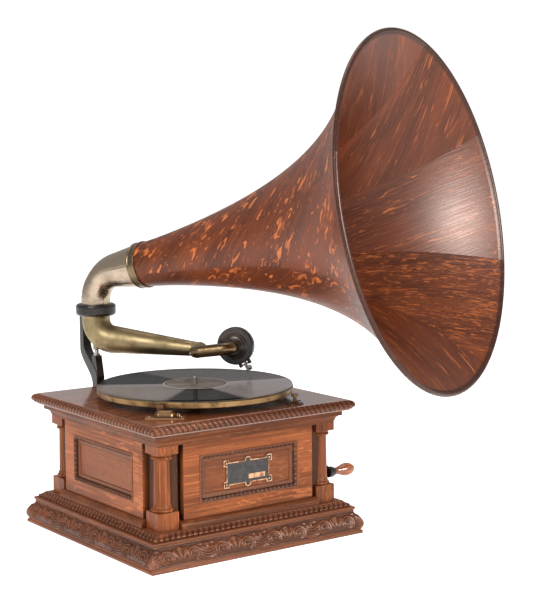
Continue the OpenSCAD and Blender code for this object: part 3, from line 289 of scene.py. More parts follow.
def egg_and_dart():
    """Carved ring in the sunk field of the front, right and left panels."""
    upright = Matrix(((1, 0, 0, 0), (0, 0, -1, FIELD_DEPTH - HALF), (0, 1, 0, PANEL_Z), (0, 0, 0, 1)))
    places = [Matrix.Rotation(side * math.pi / 2, 4, "Z") @ upright for side in (0, 1, 3)]
    bead = [(0, 0), (0, 6.2), (-0.3, 6.5), (-1.9, 6.5)]
    ovolo = [(-2 - 5 * math.sin(a), 1.5 + 5 * math.cos(a)) for a in np.linspace(0, math.pi / 2, 14)]
    fillet = [(-9.8, 1.5), (-11.8, 1.1), (-12, 0)]
    profile = np.array(bead + ovolo + fillet)
    run = lengths_along(profile)
    low, high = run[len(bead)], run[len(bead) + len(ovolo) - 1]

    def relief(s, t):
        y = (t - low) / (high - low)
        x = (s / 7.6 + 0.5) % 1 * 2 - 1
        egg = np.sqrt(np.clip(1 - (x / 0.62) ** 2 - ((y - 0.42) / 0.5) ** 2, 0, 1))
        dart = 0.8 * bump_at(np.abs(x), 1, 0.2) * smoothstep(y, 0.05, 0.3)
        inside = smoothstep(y, -0.02, 0.1) * smoothstep(1.02 - y, 0, 0.1)
        return -1.5 * inside * (1 - np.maximum(egg, dart))

    size = FRAME_HALF_W, FRAME_HALF_H
    return mitred_frame("panel_carving", *size, profile, relief, 0.55, places, "panel_mouldings")


# Horn, with the sizes of the CAD's own in millimetres and degrees

HORN_FOOT = Vector((-54.4, 195, 386.8))
HORN_HEADING = 23.6
HORN_TILT = 10.9
THROAT_S = 95
THROAT_R = 35
HORN_LEN = 502
BELL_R = 262.5
HORN_WALL = 4.5
FLARE_RATE = 0.0036
FLARE_R = 0.948 * THROAT_R
LIP_R = 3.65
STAVES = 8
STAVE_WIDTH = 2 * math.pi / STAVES
FIRST_JOINT = math.radians(25)

# Places across one stave of its columns of vertices, close together beside the joint
STAVE_COLUMNS = np.concatenate([[0, 0.004], np.linspace(0.05, 0.95, 19), [0.996]])

# Ray flecks of each stave's inner veneer: degrees off its length, then their length, width and number
INNER_VENEER = [(17, 0.55, 0.24, 0.85), (6, 1.2, 0.5, 0.24), (38, 1.5, 0.34, 0.2), (30, 2.0, 0.3, 0.15),
                (24, 2.0, 0.4, 0.12), (-20, 1.5, 0.5, 0.2), (-30, 1.5, 0.5, 0.2), (-4, 1.1, 0.4, 0.25)]
OUTER_VENEER = (-38, 0.85, 0.9, 0.42)


def flare(s):
    """Outer radius of the bell at s along its axis: an exponential that opens faster at the lip."""
    at_throat = (THROAT_R - FLARE_R) * np.exp(-s / 25)
    at_lip = (BELL_R - FLARE_R * math.exp(FLARE_RATE * HORN_LEN)) * (s / HORN_LEN) ** 6
    return FLARE_R * np.exp(FLARE_RATE * s) + at_throat + at_lip


def horn_frame():
    """Matrix from the horn's own frame, with z along its axis from the throat, to the object."""
    heading = Matrix.Rotation(math.radians(HORN_HEADING - 90), 4, "Z")
    tilt = Matrix.Rotation(math.radians(90 - HORN_TILT), 4, "Y")
    return Matrix.Translation(HORN_FOOT) @ heading @ tilt @ Matrix.Translation((0, 0, THROAT_S))


def horn_outline():
    """Points (radius, place on the axis) round the wood's section, and how many are inner face and lip."""
    s = 0.3 + (HORN_LEN - 3.3) * (1 - (1 - np.linspace(0, 1, 70)) ** 1.4)
    inner = []
    for d in s:
        wall = HORN_WALL * (1 - 0.1 * max(0, d - 200) / HORN_LEN)
        inner.append((flare(d) - wall, d + 1.5 * d / HORN_LEN))
    turns = np.radians(np.linspace(165, -80, 18))
    lip = [(BELL_R - 2.5 + LIP_R * math.cos(a), HORN_LEN + 0.5 + LIP_R * math.sin(a)) for a in turns]
    outer = [(flare(d), d) for d in s[::-1]]
    return np.array(inner + lip + outer + inner[:1]), len(inner), len(lip)


def stave_skin(k, profile, run, cols, outer_from):
    """Quads of one stave, with the grain's and the flecks' coordinates and the flecks' thickness for each."""
    angles = (np.concatenate([STAVE_COLUMNS, [1]]) - 0.5) * STAVE_WIDTH
    aa, pp = np.meshgrid(angles, np.arange(cols), indexing="ij")
    across = aa * profile[pp, 0] * MM
    along = np.minimum(run[pp], run[-1] - run[pp]) * MM
    block = grid_faces(len(angles), cols)[:, ::-1]
    outside = block[:, -1] % cols >= outer_from
    grain = np.empty(block.shape + (2,))
    figure = np.empty(block.shape + (2,))
    thickness = np.empty(len(block))
    for side, (turn, length, breadth, thick) in ((False, INNER_VENEER[k]), (True, OUTER_VENEER)):
        angle = math.radians(turn + 5 * math.sin(2.4 * k))
        u = across * math.cos(angle) - along * math.sin(angle) + 1.7 * k + 0.37 * side
        v = across * math.sin(angle) + along * math.cos(angle) + 0.9 * k + 0.53 * side
        flecks = np.stack([u * 105 / breadth, v * 32 / length], axis=-1).reshape(-1, 2)
        chosen = outside == side
        grain[chosen] = np.stack([u, v], axis=-1).reshape(-1, 2)[block[chosen]]
        figure[chosen] = flecks[block[chosen]]
        thickness[chosen] = thick
    return block, grain, figure, thickness


def flattened_normals(profile, theta, faces, outer_from, place):
    """One normal per face corner, as if each stave were bent less round than the bell, most of all inside."""
    normal = -normals_of(profile)
    cols = len(profile)
    row = faces // cols
    col = faces % cols
    first_row = np.min(row, axis=1, keepdims=True)
    closes = np.max(row, axis=1, keepdims=True) - first_row > 1
    first_row = np.where(closes, np.max(row), first_row)
    middle = (first_row // len(STAVE_COLUMNS) + 0.5) * STAVE_WIDTH + FIRST_JOINT
    off = (theta[row] - middle + math.pi) % (2 * math.pi) - math.pi
    angle = middle + np.where(col < outer_from, 0.7, 0.85) * off
    ray = normal[col, 0]
    local = np.stack([ray * np.cos(angle), ray * np.sin(angle), normal[col, 1]], axis=-1)
    return local.reshape(-1, 3) @ np.array(place.to_3x3()).T


def wooden_horn():
    """Bell of veneered staves: inner face, rolled lip and outer face in one skin, grained stave by stave."""
    profile, inner, lip = horn_outline()
    run = lengths_along(profile)
    outer_from = inner + lip // 2
    place = horn_frame()
    theta = np.concatenate([(k + STAVE_COLUMNS) * STAVE_WIDTH for k in range(STAVES)]) + FIRST_JOINT
    tt, rr = np.meshgrid(theta, profile[:, 0], indexing="ij")
    zz = np.broadcast_to(profile[:, 1], tt.shape)
    local = np.stack([rr * np.cos(tt), rr * np.sin(tt), zz, np.ones_like(tt)], axis=-1).reshape(-1, 4)
    rows, cols = tt.shape
    per = len(STAVE_COLUMNS)
    skins = [stave_skin(k, profile, run, cols, outer_from) for k in range(STAVES)]
    faces = np.concatenate([(skin[0] + k * per * cols) % (rows * cols) for k, skin in enumerate(skins)])
    grain, figure, thickness = [np.concatenate([skin[i] for skin in skins]) for i in (1, 2, 3)]

    # Dark lines: the joints between the staves, and the lip
    seam = np.broadcast_to((np.arange(rows) % per == 0)[:, None], tt.shape).astype(float)
    column = np.arange(cols)
    on_lip = smoothstep(column, inner - 2, inner) * smoothstep(inner + lip - 1 - column, 0, 2)
    seam = np.maximum(seam, on_lip)

    obj = mesh_object("wooden_horn", (local @ np.array(place).T)[:, :3], faces, grain, seam.ravel())
    mesh = obj.data
    mesh.normals_split_custom_set(flattened_normals(profile, theta, faces, outer_from, place).tolist())
    mesh.uv_layers.new(name="figure").data.foreach_set("uv", figure.astype(np.float32).ravel())
    thick = mesh.attributes.new("thickness", "FLOAT", "FACE")
    thick.data.foreach_set("value", thickness.astype(np.float32))
    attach(obj, "horn")
    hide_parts("horn_flare")
    return obj


# Materials

def rgb(red, green, blue):
    """A screen colour from 0 to 255 as the linear colour that shaders take."""
    shares = [c / 255 for c in (red, green, blue)]
    return tuple(c / 12.92 if c <= 0.04 else ((c + 0.055) / 1.055) ** 2.4 for c in shares) + (1,)


def scaled(colour, factor):
    """A linear colour made darker or lighter."""
    return tuple(min(1, c * factor) for c in colour[:3]) + (1,)


class Shader:
    """A material being wired up: each method adds a node and returns the socket that carries its result."""

    def __init__(self, name):
        self.material = bpy.data.materials.new(name)
        self.material.use_nodes = True
        self.tree = self.material.node_tree
        self.surface = self.tree.nodes["Principled BSDF"]

    def put(self, socket, value):
        """Links a socket to another one's result, or sets it to a plain value."""
        if isinstance(value, bpy.types.NodeSocket):
            self.tree.links.new(value, socket)
        else:
            socket.default_value = value

    def add(self, kind, output, inputs, **settings):
        node = self.tree.nodes.new("ShaderNode" + kind)
        for key, value in settings.items():
            setattr(node, key, value)
        for key, value in inputs.items():
            self.put(node.inputs[key], value)
        return node.outputs[output]

    def place(self, source, scale, turn=0, shift=0):
        """Coordinates of the object or its UV map, turned about z, scaled and shifted."""
        point = self.add("TexCoord", source, {})
        changes = {"Scale": scale, "Rotation": (0, 0, turn), "Location": (shift, shift, shift)}
        return self.add("Mapping", "Vector", {"Vector": point, **changes})

    def axis(self, name):
        """One coordinate of the object, in metres."""
        return self.add("SeparateXYZ", name, {"Vector": self.add("TexCoord", "Object", {})})

    def attribute(self, name):
        return self.add("Attribute", "Fac", {}, attribute_name=name)

    def noise(self, at, scale=1.0, detail=3.0, roughness=0.5, distortion=0.0):
        inputs = {"Vector": at, "Scale": scale, "Detail": detail, "Roughness": roughness}
        return self.add("TexNoise", "Fac", {**inputs, "Distortion": distortion})

    def clouds(self, scale, detail, **settings):
        """Noise of the same scale all ways through the object."""
        return self.noise(self.place("Object", (scale, scale, scale)), detail=detail, **settings)

    def between(self, value, low, high, to_low=0.0, to_high=1.0):
        inputs = {"Value": value, "From Min": low, "From Max": high, "To Min": to_low, "To Max": to_high}
        return self.add("MapRange", "Result", inputs, interpolation_type="SMOOTHSTEP")

    def math(self, operation, a, b=0.0):
        return self.add("Math", "Value", {0: a, 1: b}, operation=operation)

    def times(self, a, b):
        return self.math("MULTIPLY", a, b)

    def stripe(self, value, low, high, soft):
        """1 where the value lies between low and high, fading out over the soft width inside both."""
        return self.times(self.between(value, low, low + soft), self.between(value, high, high - soft))

    def mix(self, factor, a, b):
        return self.add("MixRGB", "Color", {"Fac": factor, "Color1": a, "Color2": b})

    def painted_hollow_shade(self, distance, low, high, strength):
        """Painted shade: darker where other faces stand closer than the distance."""
        shade = self.add("AmbientOcclusion", "AO", {"Distance": distance}, samples=6)
        return self.between(shade, low, high, strength, 0.0)

    def bump(self, height, distance, normal=None):
        inputs = {"Height": height, "Distance": distance, "Strength": 1.0}
        if normal is not None:
            inputs["Normal"] = normal
        return self.add("Bump", "Normal", inputs)

    def wear(self, radius):
        """How strongly the surface turns within the radius, for edges rubbed light."""
        soft = self.add("Bevel", "Normal", {"Radius": radius}, samples=4)
        hard = self.add("NewGeometry", "Normal", {})
        dot = self.add("VectorMath", "Value", {0: soft, 1: hard}, operation="DOT_PRODUCT")
        return self.between(dot, 0.99, 0.85), soft

    def finish(self, **sockets):
        for key, value in sockets.items():
            self.put(self.surface.inputs[key.replace("_", " ")], value)
        return self.material


def oak(name, source, along, deep, body, pale, fleck, flecks=0.5, shift=0.0, rounded=True, gloss=0.36):
    """Quarter-sawn oak, fumed and varnished, its grain, pores and ray flecks along one axis."""
    sh = Shader(name)

    def stretched(lengthwise, crosswise, turn=0.0):
        scale = [crosswise] * 3
        scale[along] = lengthwise
        return sh.place(source, scale, turn, shift)

    grain = sh.noise(stretched(7, 330), detail=5, roughness=0.65)
    figure = sh.noise(stretched(2.2, 24), detail=2, distortion=0.9)
    pores = sh.between(sh.noise(stretched(70, 1500), detail=1), 0.60, 0.70)
    patches = sh.between(sh.noise(stretched(6, 14), detail=1), 0.42, 0.60)
    rays = sh.noise(stretched(34, 135, 0.12), detail=2.5, roughness=0.45, distortion=1.4)
    rays = sh.times(sh.between(rays, 0.56, 0.63), patches)
    colour = sh.mix(sh.between(figure, 0.35, 0.68), deep, body)
    colour = sh.mix(sh.between(grain, 0.48, 0.72), colour, pale)
    colour = sh.mix(sh.times(rays, flecks), colour, fleck)
    colour = sh.mix(sh.times(pores, 0.55), colour, scaled(deep, 0.35))
    height = sh.math("SUBTRACT", sh.times(grain, 0.4), pores)
    normal = None
    if rounded:
        edge, normal = sh.wear(0.0012)
        colour = sh.mix(sh.times(edge, 0.45), colour, pale)
    rough = sh.between(grain, 0.3, 0.7, gloss - 0.05, gloss + 0.10)
    return sh, colour, rough, sh.bump(height, 0.00012, normal)


WOOD = {
    "deep": rgb(114, 58, 28),
    "body": rgb(156, 84, 44),
    "pale": rgb(184, 108, 62),
    "fleck": rgb(218, 128, 72),
}


# The varnish's reflections are as warm as the wood below it
PANEL_VARNISH = {"Specular_IOR_Level": 0.2, "Specular_Tint": (1, 0.78, 0.62, 1)}
CARVED_VARNISH = {"Specular_IOR_Level": 0.35, "Specular_Tint": (1, 0.8, 0.68, 1)}
HORN_VARNISH = {"Specular_IOR_Level": 0.35, "Specular_Tint": (1, 0.8, 0.72, 1)}


def panel_oak(name, along, polish=0.24, coat=0.08, mirror=1.5, stain_and_shade=0.0, painted_shade=0.8, sunk=None, **changes):
    """Oak of the boards and posts: stained, with painted shade in its corners, darker in a field sunk along
    an axis.
    """
    sh, colour, rough, normal = oak(name, "Object", along, **WOOD, **changes)
    if sunk is not None:
        depth = sh.math("ABSOLUTE", sh.axis(sunk))
        field = sh.between(depth, (HALF - 3) * MM, (HALF - 4) * MM, 0.0, 0.5)
        colour = sh.mix(field, colour, rgb(92, 52, 34))
    # Painted shade: ambient occlusion darkens corners and slots towards a dark brown.
    shade = sh.painted_hollow_shade(0.012, 0.3, 0.9, painted_shade)
    # An all-over darkening to the same brown: stain on the lid and rails, painted shade on the far columns
    # and posts.
    colour = sh.mix(sh.math("MAXIMUM", shade, stain_and_shade), colour, rgb(38, 20, 13))
    lacquer = {"Coat_Weight": coat, "Coat_Roughness": polish, "Coat_IOR": mirror}
    return sh.finish(Base_Color=colour, Roughness=rough, Normal=normal, **PANEL_VARNISH, **lacquer)


CARVED_WOOD = {
    "deep": rgb(66, 34, 20),
    "body": rgb(98, 54, 33),
    "pale": rgb(126, 72, 45),
    "fleck": rgb(180, 106, 66),
}


def carved_oak(name, depth):
    """Oak of a run carved to a depth in mm: painted shade on the ground and in the hollows, painted highlight
    on the high parts.
    """
    sh, colour, rough, normal = oak(name, "UV", 0, **CARVED_WOOD, flecks=0.25, rounded=False)
    height = sh.attribute("relief")
    # Painted shade: the carving's ground is darkened by its depth.
    painted_ground_shade = sh.between(height, -depth, -0.2 * depth, 0.3, 0.0)
    colour = sh.mix(painted_ground_shade, colour, rgb(52, 32, 25))
    # Painted shade in the carving's hollows.
    colour = sh.mix(sh.painted_hollow_shade(0.004, 0.35, 0.95, 0.5), colour, rgb(44, 24, 18))
    # Painted highlight: the high parts are lightened towards the fleck colour.
    painted_crest_highlight = sh.between(height, -0.3 * depth, 0.0, 0.0, 0.22)
    colour = sh.mix(painted_crest_highlight, colour, CARVED_WOOD["fleck"])
    return sh.finish(Base_Color=colour, Roughness=rough, Normal=normal, **CARVED_VARNISH)


def horn_flecks(sh):
    """Ray flecks of the bell's veneer, large and small, more of them where the stave's value is high."""
    at = sh.add("UVMap", "UV", {}, uv_map="figure")
    thick = sh.attribute("thickness")
    threshold = sh.math("SUBTRACT", 0.685, sh.times(thick, 0.12))
    crowd = sh.between(sh.noise(at, scale=0.21, detail=1), 0.35, 0.65, -0.05, 0.05)
    large = sh.math("ADD", sh.noise(at, detail=1.5, roughness=0.4, distortion=0.8), crowd)
    large = sh.between(large, threshold, sh.math("ADD", threshold, 0.035))
    small = sh.math("ADD", sh.noise(at, scale=2.3, detail=1, roughness=0.4, distortion=0.6), crowd)
    low = sh.math("ADD", threshold, 0.01)
    high = sh.math("ADD", threshold, 0.07)
    small = sh.between(small, low, high, 0.0, 0.6)
    rays = sh.math("MAXIMUM", large, small)
    rays = sh.times(rays, sh.between(sh.noise(at, scale=0.6, detail=1), 0.3, 0.65, 0.35, 1.0))
    rays = sh.times(rays, sh.between(thick, 0.08, 0.4, 0.45, 1.0))
    return sh.times(rays, sh.between(thick, 0.5, 0.85, 1.0, 0.7))


def horn_oak():
    """Oak veneer of the bell: quiet reddish grain, bright ray flecks and a fine dark line at each joint."""
    sh = Shader("horn_oak")
    grain = sh.noise(sh.place("UV", (420, 11, 1)), detail=5, roughness=0.6)
    figure = sh.noise(sh.place("UV", (16, 4, 1)), detail=3, distortion=0.8)
    colour = sh.mix(sh.between(figure, 0.35, 0.68), rgb(78, 34, 16), rgb(106, 49, 23))
    colour = sh.mix(sh.between(grain, 0.45, 0.75, 0.0, 0.6), colour, rgb(136, 70, 36))
    colour = sh.mix(sh.times(horn_flecks(sh), 0.85), colour, rgb(206, 112, 54))
    joint = sh.between(sh.attribute("relief"), 0.3, 0.9, 0.0, 0.8)
    colour = sh.mix(joint, colour, rgb(40, 20, 14))
    rough = sh.between(grain, 0.3, 0.7, 0.32, 0.42)
    normal = sh.bump(grain, 0.00025)
    return sh.finish(Base_Color=colour, Roughness=rough, Normal=normal, **HORN_VARNISH)


def metal(name, colour, tarnish, rough=0.3, spots=0.4, hammer=0.0):
    """Plated or polished metal with cloudy tarnish, fine scratches and rubbed edges."""
    sh = Shader(name)
    cloud = sh.clouds(38, 5, roughness=0.6)
    fine = sh.noise(sh.place("Object", (900, 900, 140)), detail=2)
    edge, normal = sh.wear(0.0007)
    base = sh.mix(sh.times(sh.between(cloud, 0.45, 0.72), spots), colour, tarnish)
    base = sh.mix(sh.times(edge, 0.5), base, scaled(colour, 1.35))
    dull = sh.between(cloud, 0.3, 0.75, rough - 0.06, rough + 0.12)
    roughness = sh.math("ADD", dull, sh.times(fine, 0.08))
    height = sh.times(fine, 0.06)
    if hammer:
        cells = {"Vector": sh.place("Object", (240, 240, 240)), "Scale": 1.0}
        dents = sh.add("TexVoronoi", "Distance", cells, feature="SMOOTH_F1")
        height = sh.math("ADD", height, sh.times(dents, hammer))
    normal = sh.bump(height, 0.0004, normal)
    return sh.finish(Base_Color=base, Metallic=1.0, Roughness=roughness, Normal=normal)


def coated(name, colour, dust, rough=0.35, grit=900.0, depth=0.00008, sheen=0.0):
    """Paint, rubber or cloth: a soft mottled colour over a fine tooth."""
    sh = Shader(name)
    tooth = sh.clouds(grit, 3, roughness=0.6)
    cloud = sh.clouds(30, 4)
    edge, normal = sh.wear(0.0006)
    base = sh.mix(sh.times(sh.between(cloud, 0.4, 0.75), 0.35), colour, dust)
    base = sh.mix(sh.times(edge, 0.4), base, dust)
    roughness = sh.between(tooth, 0.3, 0.7, rough - 0.05, rough + 0.1)
    normal = sh.bump(tooth, depth, normal)
    return sh.finish(Base_Color=base, Roughness=roughness, Sheen_Weight=sheen, Normal=normal)


def disc_polar(sh):
    """Distance from the turntable's axis, and the angle around it."""
    low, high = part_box("record")
    axis = ((low[0] + high[0]) / 2, (low[1] + high[1]) / 2, 0)
    point = sh.add("TexCoord", "Object", {})
    beside = sh.add("VectorMath", "Vector", {0: point, 1: axis}, operation="SUBTRACT")
    flat = sh.add("VectorMath", "Vector", {0: beside, 1: (1, 1, 0)}, operation="MULTIPLY")
    across = sh.add("SeparateXYZ", "X", {"Vector": flat})
    away = sh.add("SeparateXYZ", "Y", {"Vector": flat})
    return sh.add("VectorMath", "Value", {0: flat}, operation="LENGTH"), sh.math("ARCTAN2", away, across)


def sector(sh, angle, centre, half, strength):
    """Strength inside a soft-edged sector of the disc, given in degrees, and 0 outside it."""
    inside = sh.math("COSINE", sh.math("SUBTRACT", angle, math.radians(centre)))
    edge = math.cos(math.radians(half + 4)), math.cos(math.radians(half - 4))
    return sh.between(inside, *edge, 0.0, strength)


def shellac():
    """Record: fine grooves, a painted reflection in sectors, a smooth run-out and a bare silvery label."""
    sh = Shader("shellac_record")
    radius, angle = disc_polar(sh)
    groove_pitch = 0.0011
    grooves = sh.math("SINE", sh.times(radius, 2 * math.pi / groove_pitch))
    bands = sh.noise(sh.add("CombineXYZ", "Vector", {"X": radius}), scale=160, detail=2)
    label = sh.between(radius, 0.0500, 0.0495)
    played = sh.times(sh.between(radius, 0.0595, 0.0605), sh.between(radius, 0.1475, 0.1468))
    dust = sh.clouds(60, 4)
    black = sh.mix(sh.between(bands, 0.4, 0.65), rgb(18, 14, 14), rgb(34, 28, 27))
    black = sh.mix(sh.times(sh.between(dust, 0.5, 0.75), 0.12), black, rgb(104, 92, 86))
    # Painted reflection: sectors of the disc are lightened to a pinkish grey.
    sheen = sh.math("MAXIMUM", sector(sh, angle, 184, 36, 0.5), sector(sh, angle, 304, 38, 0.8))
    sheen = sh.math("MAXIMUM", sheen, sector(sh, angle, 39, 55, 0.2))
    black = sh.mix(sheen, black, rgb(142, 126, 121))
    paper = sh.mix(sh.between(dust, 0.4, 0.65), rgb(132, 122, 114), rgb(104, 95, 89))
    paper = sh.mix(sh.stripe(radius, 0.0478, 0.0500, 0.0004), paper, rgb(196, 184, 172))
    paper = sh.mix(sh.stripe(radius, 0.0445, 0.0465, 0.0005), paper, rgb(74, 66, 62))
    height = sh.times(grooves, played)
    rough = sh.between(label, 0, 1, 0.12, 0.5)
    # Painted reflection: the IOR is higher in the lightened sectors, so they mirror more.
    bending = sh.between(sheen, 0, 0.8, 1.05, 1.5)
    colour = sh.mix(label, black, paper)
    return sh.finish(Base_Color=colour, Roughness=rough, Normal=sh.bump(height, 0.00003), IOR=bending)


def plate_black():
    """Nameplate: black enamel, raised copper edge and pins, and a bare copper strip at the lower right."""
    sh = Shader("plate_black")
    raised = (HALF - FIELD_DEPTH + 1.1) * MM
    edge = sh.between(sh.times(sh.axis("Y"), -1.0), raised, raised + 0.0001)
    low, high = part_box("nameplate")
    wide = (high[0] - low[0]) / 2
    strip_z = (low[2] + high[2]) / 2 - 0.008
    strip = sh.stripe(sh.axis("X"), wide * 0.02, wide * 0.72, wide * 0.01)
    band = sh.between(sh.math("ABSOLUTE", sh.math("SUBTRACT", sh.axis("Z"), strip_z)), 0.0036, 0.0034)
    copper = sh.math("MAXIMUM", edge, sh.times(strip, band))
    tooth = sh.clouds(700, 3)
    wear = sh.clouds(160, 4)
    enamel = sh.mix(sh.between(wear, 0.4, 0.7), rgb(34, 32, 31), rgb(58, 50, 44))
    bright = sh.mix(sh.between(wear, 0.4, 0.65), rgb(206, 160, 124), rgb(132, 92, 64))
    colour = sh.mix(copper, enamel, bright)
    rough = sh.between(tooth, 0.3, 0.7, 0.3, 0.42)
    normal = sh.bump(tooth, 0.00006)
    return sh.finish(Base_Color=colour, Metallic=sh.times(copper, 0.8), Roughness=rough, Normal=normal)


GRIP_WOOD = {
    "deep": rgb(112, 52, 24),
    "body": rgb(176, 92, 44),
    "pale": rgb(204, 122, 66),
    "fleck": rgb(220, 140, 80),
}


def grip_wood():
    """Turned handle with a black ferrule at its inner end."""
    finish = {"flecks": 0.1, "rounded": False, "gloss": 0.25}
    sh, colour, rough, normal = oak("grip_wood", "Object", 0, **GRIP_WOOD, **finish)
    ferrule_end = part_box("crank_grip")[0][0] + 0.004
    ferrule = sh.between(sh.axis("X"), ferrule_end + 0.0001, ferrule_end)
    colour = sh.mix(ferrule, colour, rgb(24, 20, 18))
    return sh.finish(Base_Color=colour, Roughness=rough, Normal=normal, Coat_Weight=0.5)


def mica():
    """Diaphragm: pale, glassy mineral sheet with faint flaws."""
    sh = Shader("mica")
    flaws = sh.clouds(120, 5, distortion=1.5)
    colour = sh.mix(sh.between(flaws, 0.4, 0.7), rgb(150, 138, 118), rgb(196, 186, 164))
    rough = sh.between(flaws, 0.3, 0.7, 0.12, 0.25)
    return sh.finish(Base_Color=colour, Roughness=rough, Coat_Weight=0.6, Normal=sh.bump(flaws, 0.00005))


def dress(material, *nodes):
    """Gives CAD nodes one material."""
    for node in nodes:
        for slot in NODES[node].material_slots:
            slot.material = material


def dress_piece(obj, material):
    """Gives a piece of this script its material."""
    obj.data.materials.append(material)


def build_pieces():
    """The pieces that take the place of CAD nodes, each in its oak."""
    dress_piece(carved_base(), carved_oak("oak_scrolls", 2.6))
    dress_piece(leaf_band(), carved_oak("oak_leaves", 1.4))
    dress_piece(rope_edge(), carved_oak("oak_rope", 2.0))
    dress_piece(egg_and_dart(), carved_oak("oak_eggs", 1.5))
    dress_piece(wooden_horn(), horn_oak())


STEEL_PIECES = [
    "turntable_spindle",
    "governor_shaft",
    "governor_springs",
    "governor_disc",
    "governor_weights",
    "winding_arbor",
    "ratchet_pawl",
    "mainspring",
    "spring_barrel",
    "motor_bedplate",
    "motor_frame",
    "needle",
    "needle_bar",
    "needle_screw",
    "arm_pivot_screw",
    "lid_screws",
]
BRASS_PIECES = ["regulator_arm", "governor_wheel", "great_wheel", "intermediate_wheel"]
BRONZE_PIECES = ["speed_dial", "speed_knob", "brake_lever"]
IRON_PIECES = ["horn_bracket", "bracket_bolts", "crank_arm", "winding_shaft"]
FAR_COLUMNS = ["column_front_right", "column_back_left", "column_back_right"]


def dress_cabinet():
    """Woods of the cabinet, by the axis that their grain follows, and its nameplate."""
    dress(panel_oak("oak_front", 0, flecks=0.5, sunk="Y"), "front_panel", "back_panel", "bracket_block")
    dress(panel_oak("oak_side", 1, flecks=0.4, sunk="X"), "left_panel", "right_panel")
    lid = panel_oak("oak_lid", 0, polish=0.1, coat=1.0, mirror=2.1, stain_and_shade=0.2, flecks=0.35, shift=0.4)
    dress(lid, "lid_board")
    dress(panel_oak("oak_rails", 0, stain_and_shade=0.5, flecks=0.3, shift=0.9), "sill_rails", "cornice", "base_board")
    # The corner column gets the least painted shade in its corners.
    dress(panel_oak("oak_corner_column", 2, painted_shade=0.25, flecks=0.9), "column_front_left")
    # Painted shade: the far columns are darkened all over and more in their corners, as if less lit.
    dress(panel_oak("oak_columns", 2, painted_shade=0.5, stain_and_shade=0.35, flecks=0.6), *FAR_COLUMNS)
    # Painted shade: the posts are darkened all over, as the shade in the slots beside the columns.
    dress(panel_oak("oak_posts", 2, stain_and_shade=0.85), "corner_posts")
    dress(plate_black(), "nameplate")
    dress(grip_wood(), "crank_grip")


def dress_metal():
    """Each metal with its own colour, tarnish and polish."""
    gilt = metal("platter_gilt", rgb(150, 118, 80), rgb(66, 46, 30), rough=0.34, spots=0.9, hammer=0.8)
    dress(gilt, "platter")
    nickel = metal("nickel_satin", rgb(180, 162, 142), rgb(112, 90, 70), rough=0.24, spots=0.35)
    dress(nickel, "horn_elbow")
    dress(metal("nickel_brown", rgb(122, 104, 82), rgb(70, 54, 40), rough=0.26), "horn_ferrule")
    dress(metal("neck_brass", rgb(134, 112, 82), rgb(88, 68, 46), rough=0.26), "gooseneck")
    dress(metal("arm_brass", rgb(148, 131, 98), rgb(106, 87, 60), rough=0.4, spots=0.6), "tonearm")
    dress(metal("bronze_dark", rgb(122, 92, 66), rgb(70, 50, 36), rough=0.32), *BRONZE_PIECES)
    dress(metal("plate_brass", rgb(178, 140, 104), rgb(116, 80, 54), rough=0.36), "brake_plate", "crank_bush")
    dress(metal("brass_satin", rgb(206, 166, 104), rgb(128, 88, 48), rough=0.33), *BRASS_PIECES)
    dress(metal("steel", rgb(176, 172, 166), rgb(110, 98, 88), rough=0.33), *STEEL_PIECES)
    dress(coated("black_iron", rgb(22, 19, 18), rgb(76, 62, 52), rough=0.26), *IRON_PIECES)


def dress_soft_and_brittle():
    """Record, felt pad, sound box and diaphragm."""
    dress(shellac(), "record")
    felt = coated("felt", rgb(52, 60, 42), rgb(84, 90, 66), rough=0.9, grit=1600, depth=0.0003, sheen=0.5)
    dress(felt, "felt_pad")
    dress(coated("box_enamel", rgb(30, 25, 23), rgb(96, 70, 56), rough=0.22), "soundbox_shell")
    dress(coated("rubber", rgb(40, 32, 28), rgb(70, 60, 52), rough=0.7), "soundbox_gaskets")
    dress(mica(), "diaphragm")


# Studio

def floor():
    """Pale floor that renders white and keeps the object's faint shadow."""
    mesh = bpy.data.meshes.new("floor")
    reach = 6.0
    corners = [(-reach, -reach, 0), (reach, -reach, 0), (reach, reach, 0), (-reach, reach, 0)]
    mesh.from_pydata(corners, [], [(0, 1, 2, 3)])
    obj = bpy.data.objects.new("floor", mesh)
    bpy.context.scene.collection.objects.link(obj)
    sh = Shader("floor_paper")
    tooth = sh.clouds(300, 2)
    tone = sh.mix(sh.between(tooth, 0.3, 0.7), rgb(250, 250, 250), rgb(246, 246, 246))
    sh.finish(Base_Color=tone, Roughness=0.9, Emission_Color=(1, 1, 1, 1), Emission_Strength=0.7)
    mesh.materials.append(sh.material)


def background(tree, colour, strength):
    node = tree.nodes.new("ShaderNodeBackground")
    node.inputs["Color"].default_value = colour
    node.inputs["Strength"].default_value = strength
    return node.outputs[0]


def chosen(tree, factor, otherwise, when):
    """One shader where the factor is 0 and another where it is 1."""
    node = tree.nodes.new("ShaderNodeMixShader")
    for socket, value in zip(node.inputs, (factor, otherwise, when)):
        tree.links.new(value, socket)
    return node.outputs[0]


def white_room():
    """World that is white to the camera, half as bright in reflections, and a soft fill otherwise."""
    world = bpy.data.worlds.new("room")
    bpy.context.scene.world = world
    world.use_nodes = True
    tree = world.node_tree
    tree.nodes.clear()
    paths = tree.nodes.new("ShaderNodeLightPath")
    seen = background(tree, (1, 1, 1, 1), 1.05)
    fill = background(tree, (1, 0.99, 0.97, 1), 0.5)
    mirrored = background(tree, (1, 1, 1, 1), 0.45)
    unseen = chosen(tree, paths.outputs["Is Glossy Ray"], fill, mirrored)
    result = chosen(tree, paths.outputs["Is Camera Ray"], unseen, seen)
    out = tree.nodes.new("ShaderNodeOutputWorld")
    tree.links.new(result, out.inputs["Surface"])


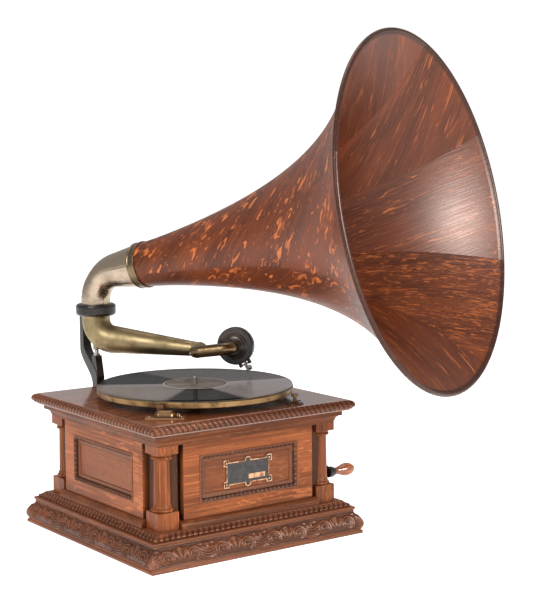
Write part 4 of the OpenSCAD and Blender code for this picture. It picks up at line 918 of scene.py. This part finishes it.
def softbox(name, place, target, size, power, diffuse=True, glossy=True):
    """A lamp that lights, or is mirrored by, what it's turned to; lengths in metres, power in watts."""
    light = bpy.data.lights.new(name, "AREA")
    light.shape = "RECTANGLE"
    light.size, light.size_y = size
    light.energy = power
    obj = bpy.data.objects.new(name, light)
    obj.location = place
    obj.rotation_euler = (Vector(target) - Vector(place)).to_track_quat("-Z", "Y").to_euler()
    obj.visible_diffuse = diffuse
    obj.visible_glossy = glossy
    bpy.context.scene.collection.objects.link(obj)


def studio():
    """Pale floor, white surroundings and four soft lamps, one only mirrored and one only lighting."""
    floor()
    white_room()
    softbox("key", (-2.2, -0.9, 1.9), (0, 0, 0.25), (1.3, 1.3), 46)
    softbox("bell", (0.45, -2.15, 0.98), (0.15, -0.25, 0.4), (0.5, 0.4), 80, diffuse=False)
    softbox("front", (0.3, -2.3, 1.1), (0.1, 0, 0.3), (1.2, 1.2), 24, glossy=False)
    softbox("top", (0.1, 0.4, 2.4), (0, 0, 0.2), (1.4, 1.4), 16)


# Place in metres, lens in mm, roll in degrees and the directions of the picture's right and top
CAMERA_PLACE = (-1.2559, -1.9455, 0.6129)
CAMERA_LENS = 90.71
CAMERA_ROLL = -0.40
CAMERA_RIGHT = Vector((0.80963, -0.58694, 0.0))
CAMERA_UP = Vector((0.06472, 0.08927, 0.99390))


def camera():
    """The camera that fits the photograph."""
    data = bpy.data.cameras.new("camera")
    data.lens = CAMERA_LENS
    data.sensor_fit = "AUTO"
    data.sensor_width = 36
    data.clip_start = 0.1
    data.clip_end = 50
    obj = bpy.data.objects.new("camera", data)
    roll = math.radians(CAMERA_ROLL)
    right = CAMERA_RIGHT * math.cos(roll) + CAMERA_UP * math.sin(roll)
    up = CAMERA_UP * math.cos(roll) - CAMERA_RIGHT * math.sin(roll)
    back = CAMERA_RIGHT.cross(CAMERA_UP)
    turn = Matrix((right, up, back)).transposed().to_4x4()
    obj.matrix_world = Matrix.Translation(CAMERA_PLACE) @ turn
    bpy.context.scene.collection.objects.link(obj)
    bpy.context.scene.camera = obj


build_pieces()
dress_cabinet()
dress_metal()
dress_soft_and_brittle()
studio()
camera()
bpy.context.scene.view_settings.view_transform = "Standard"
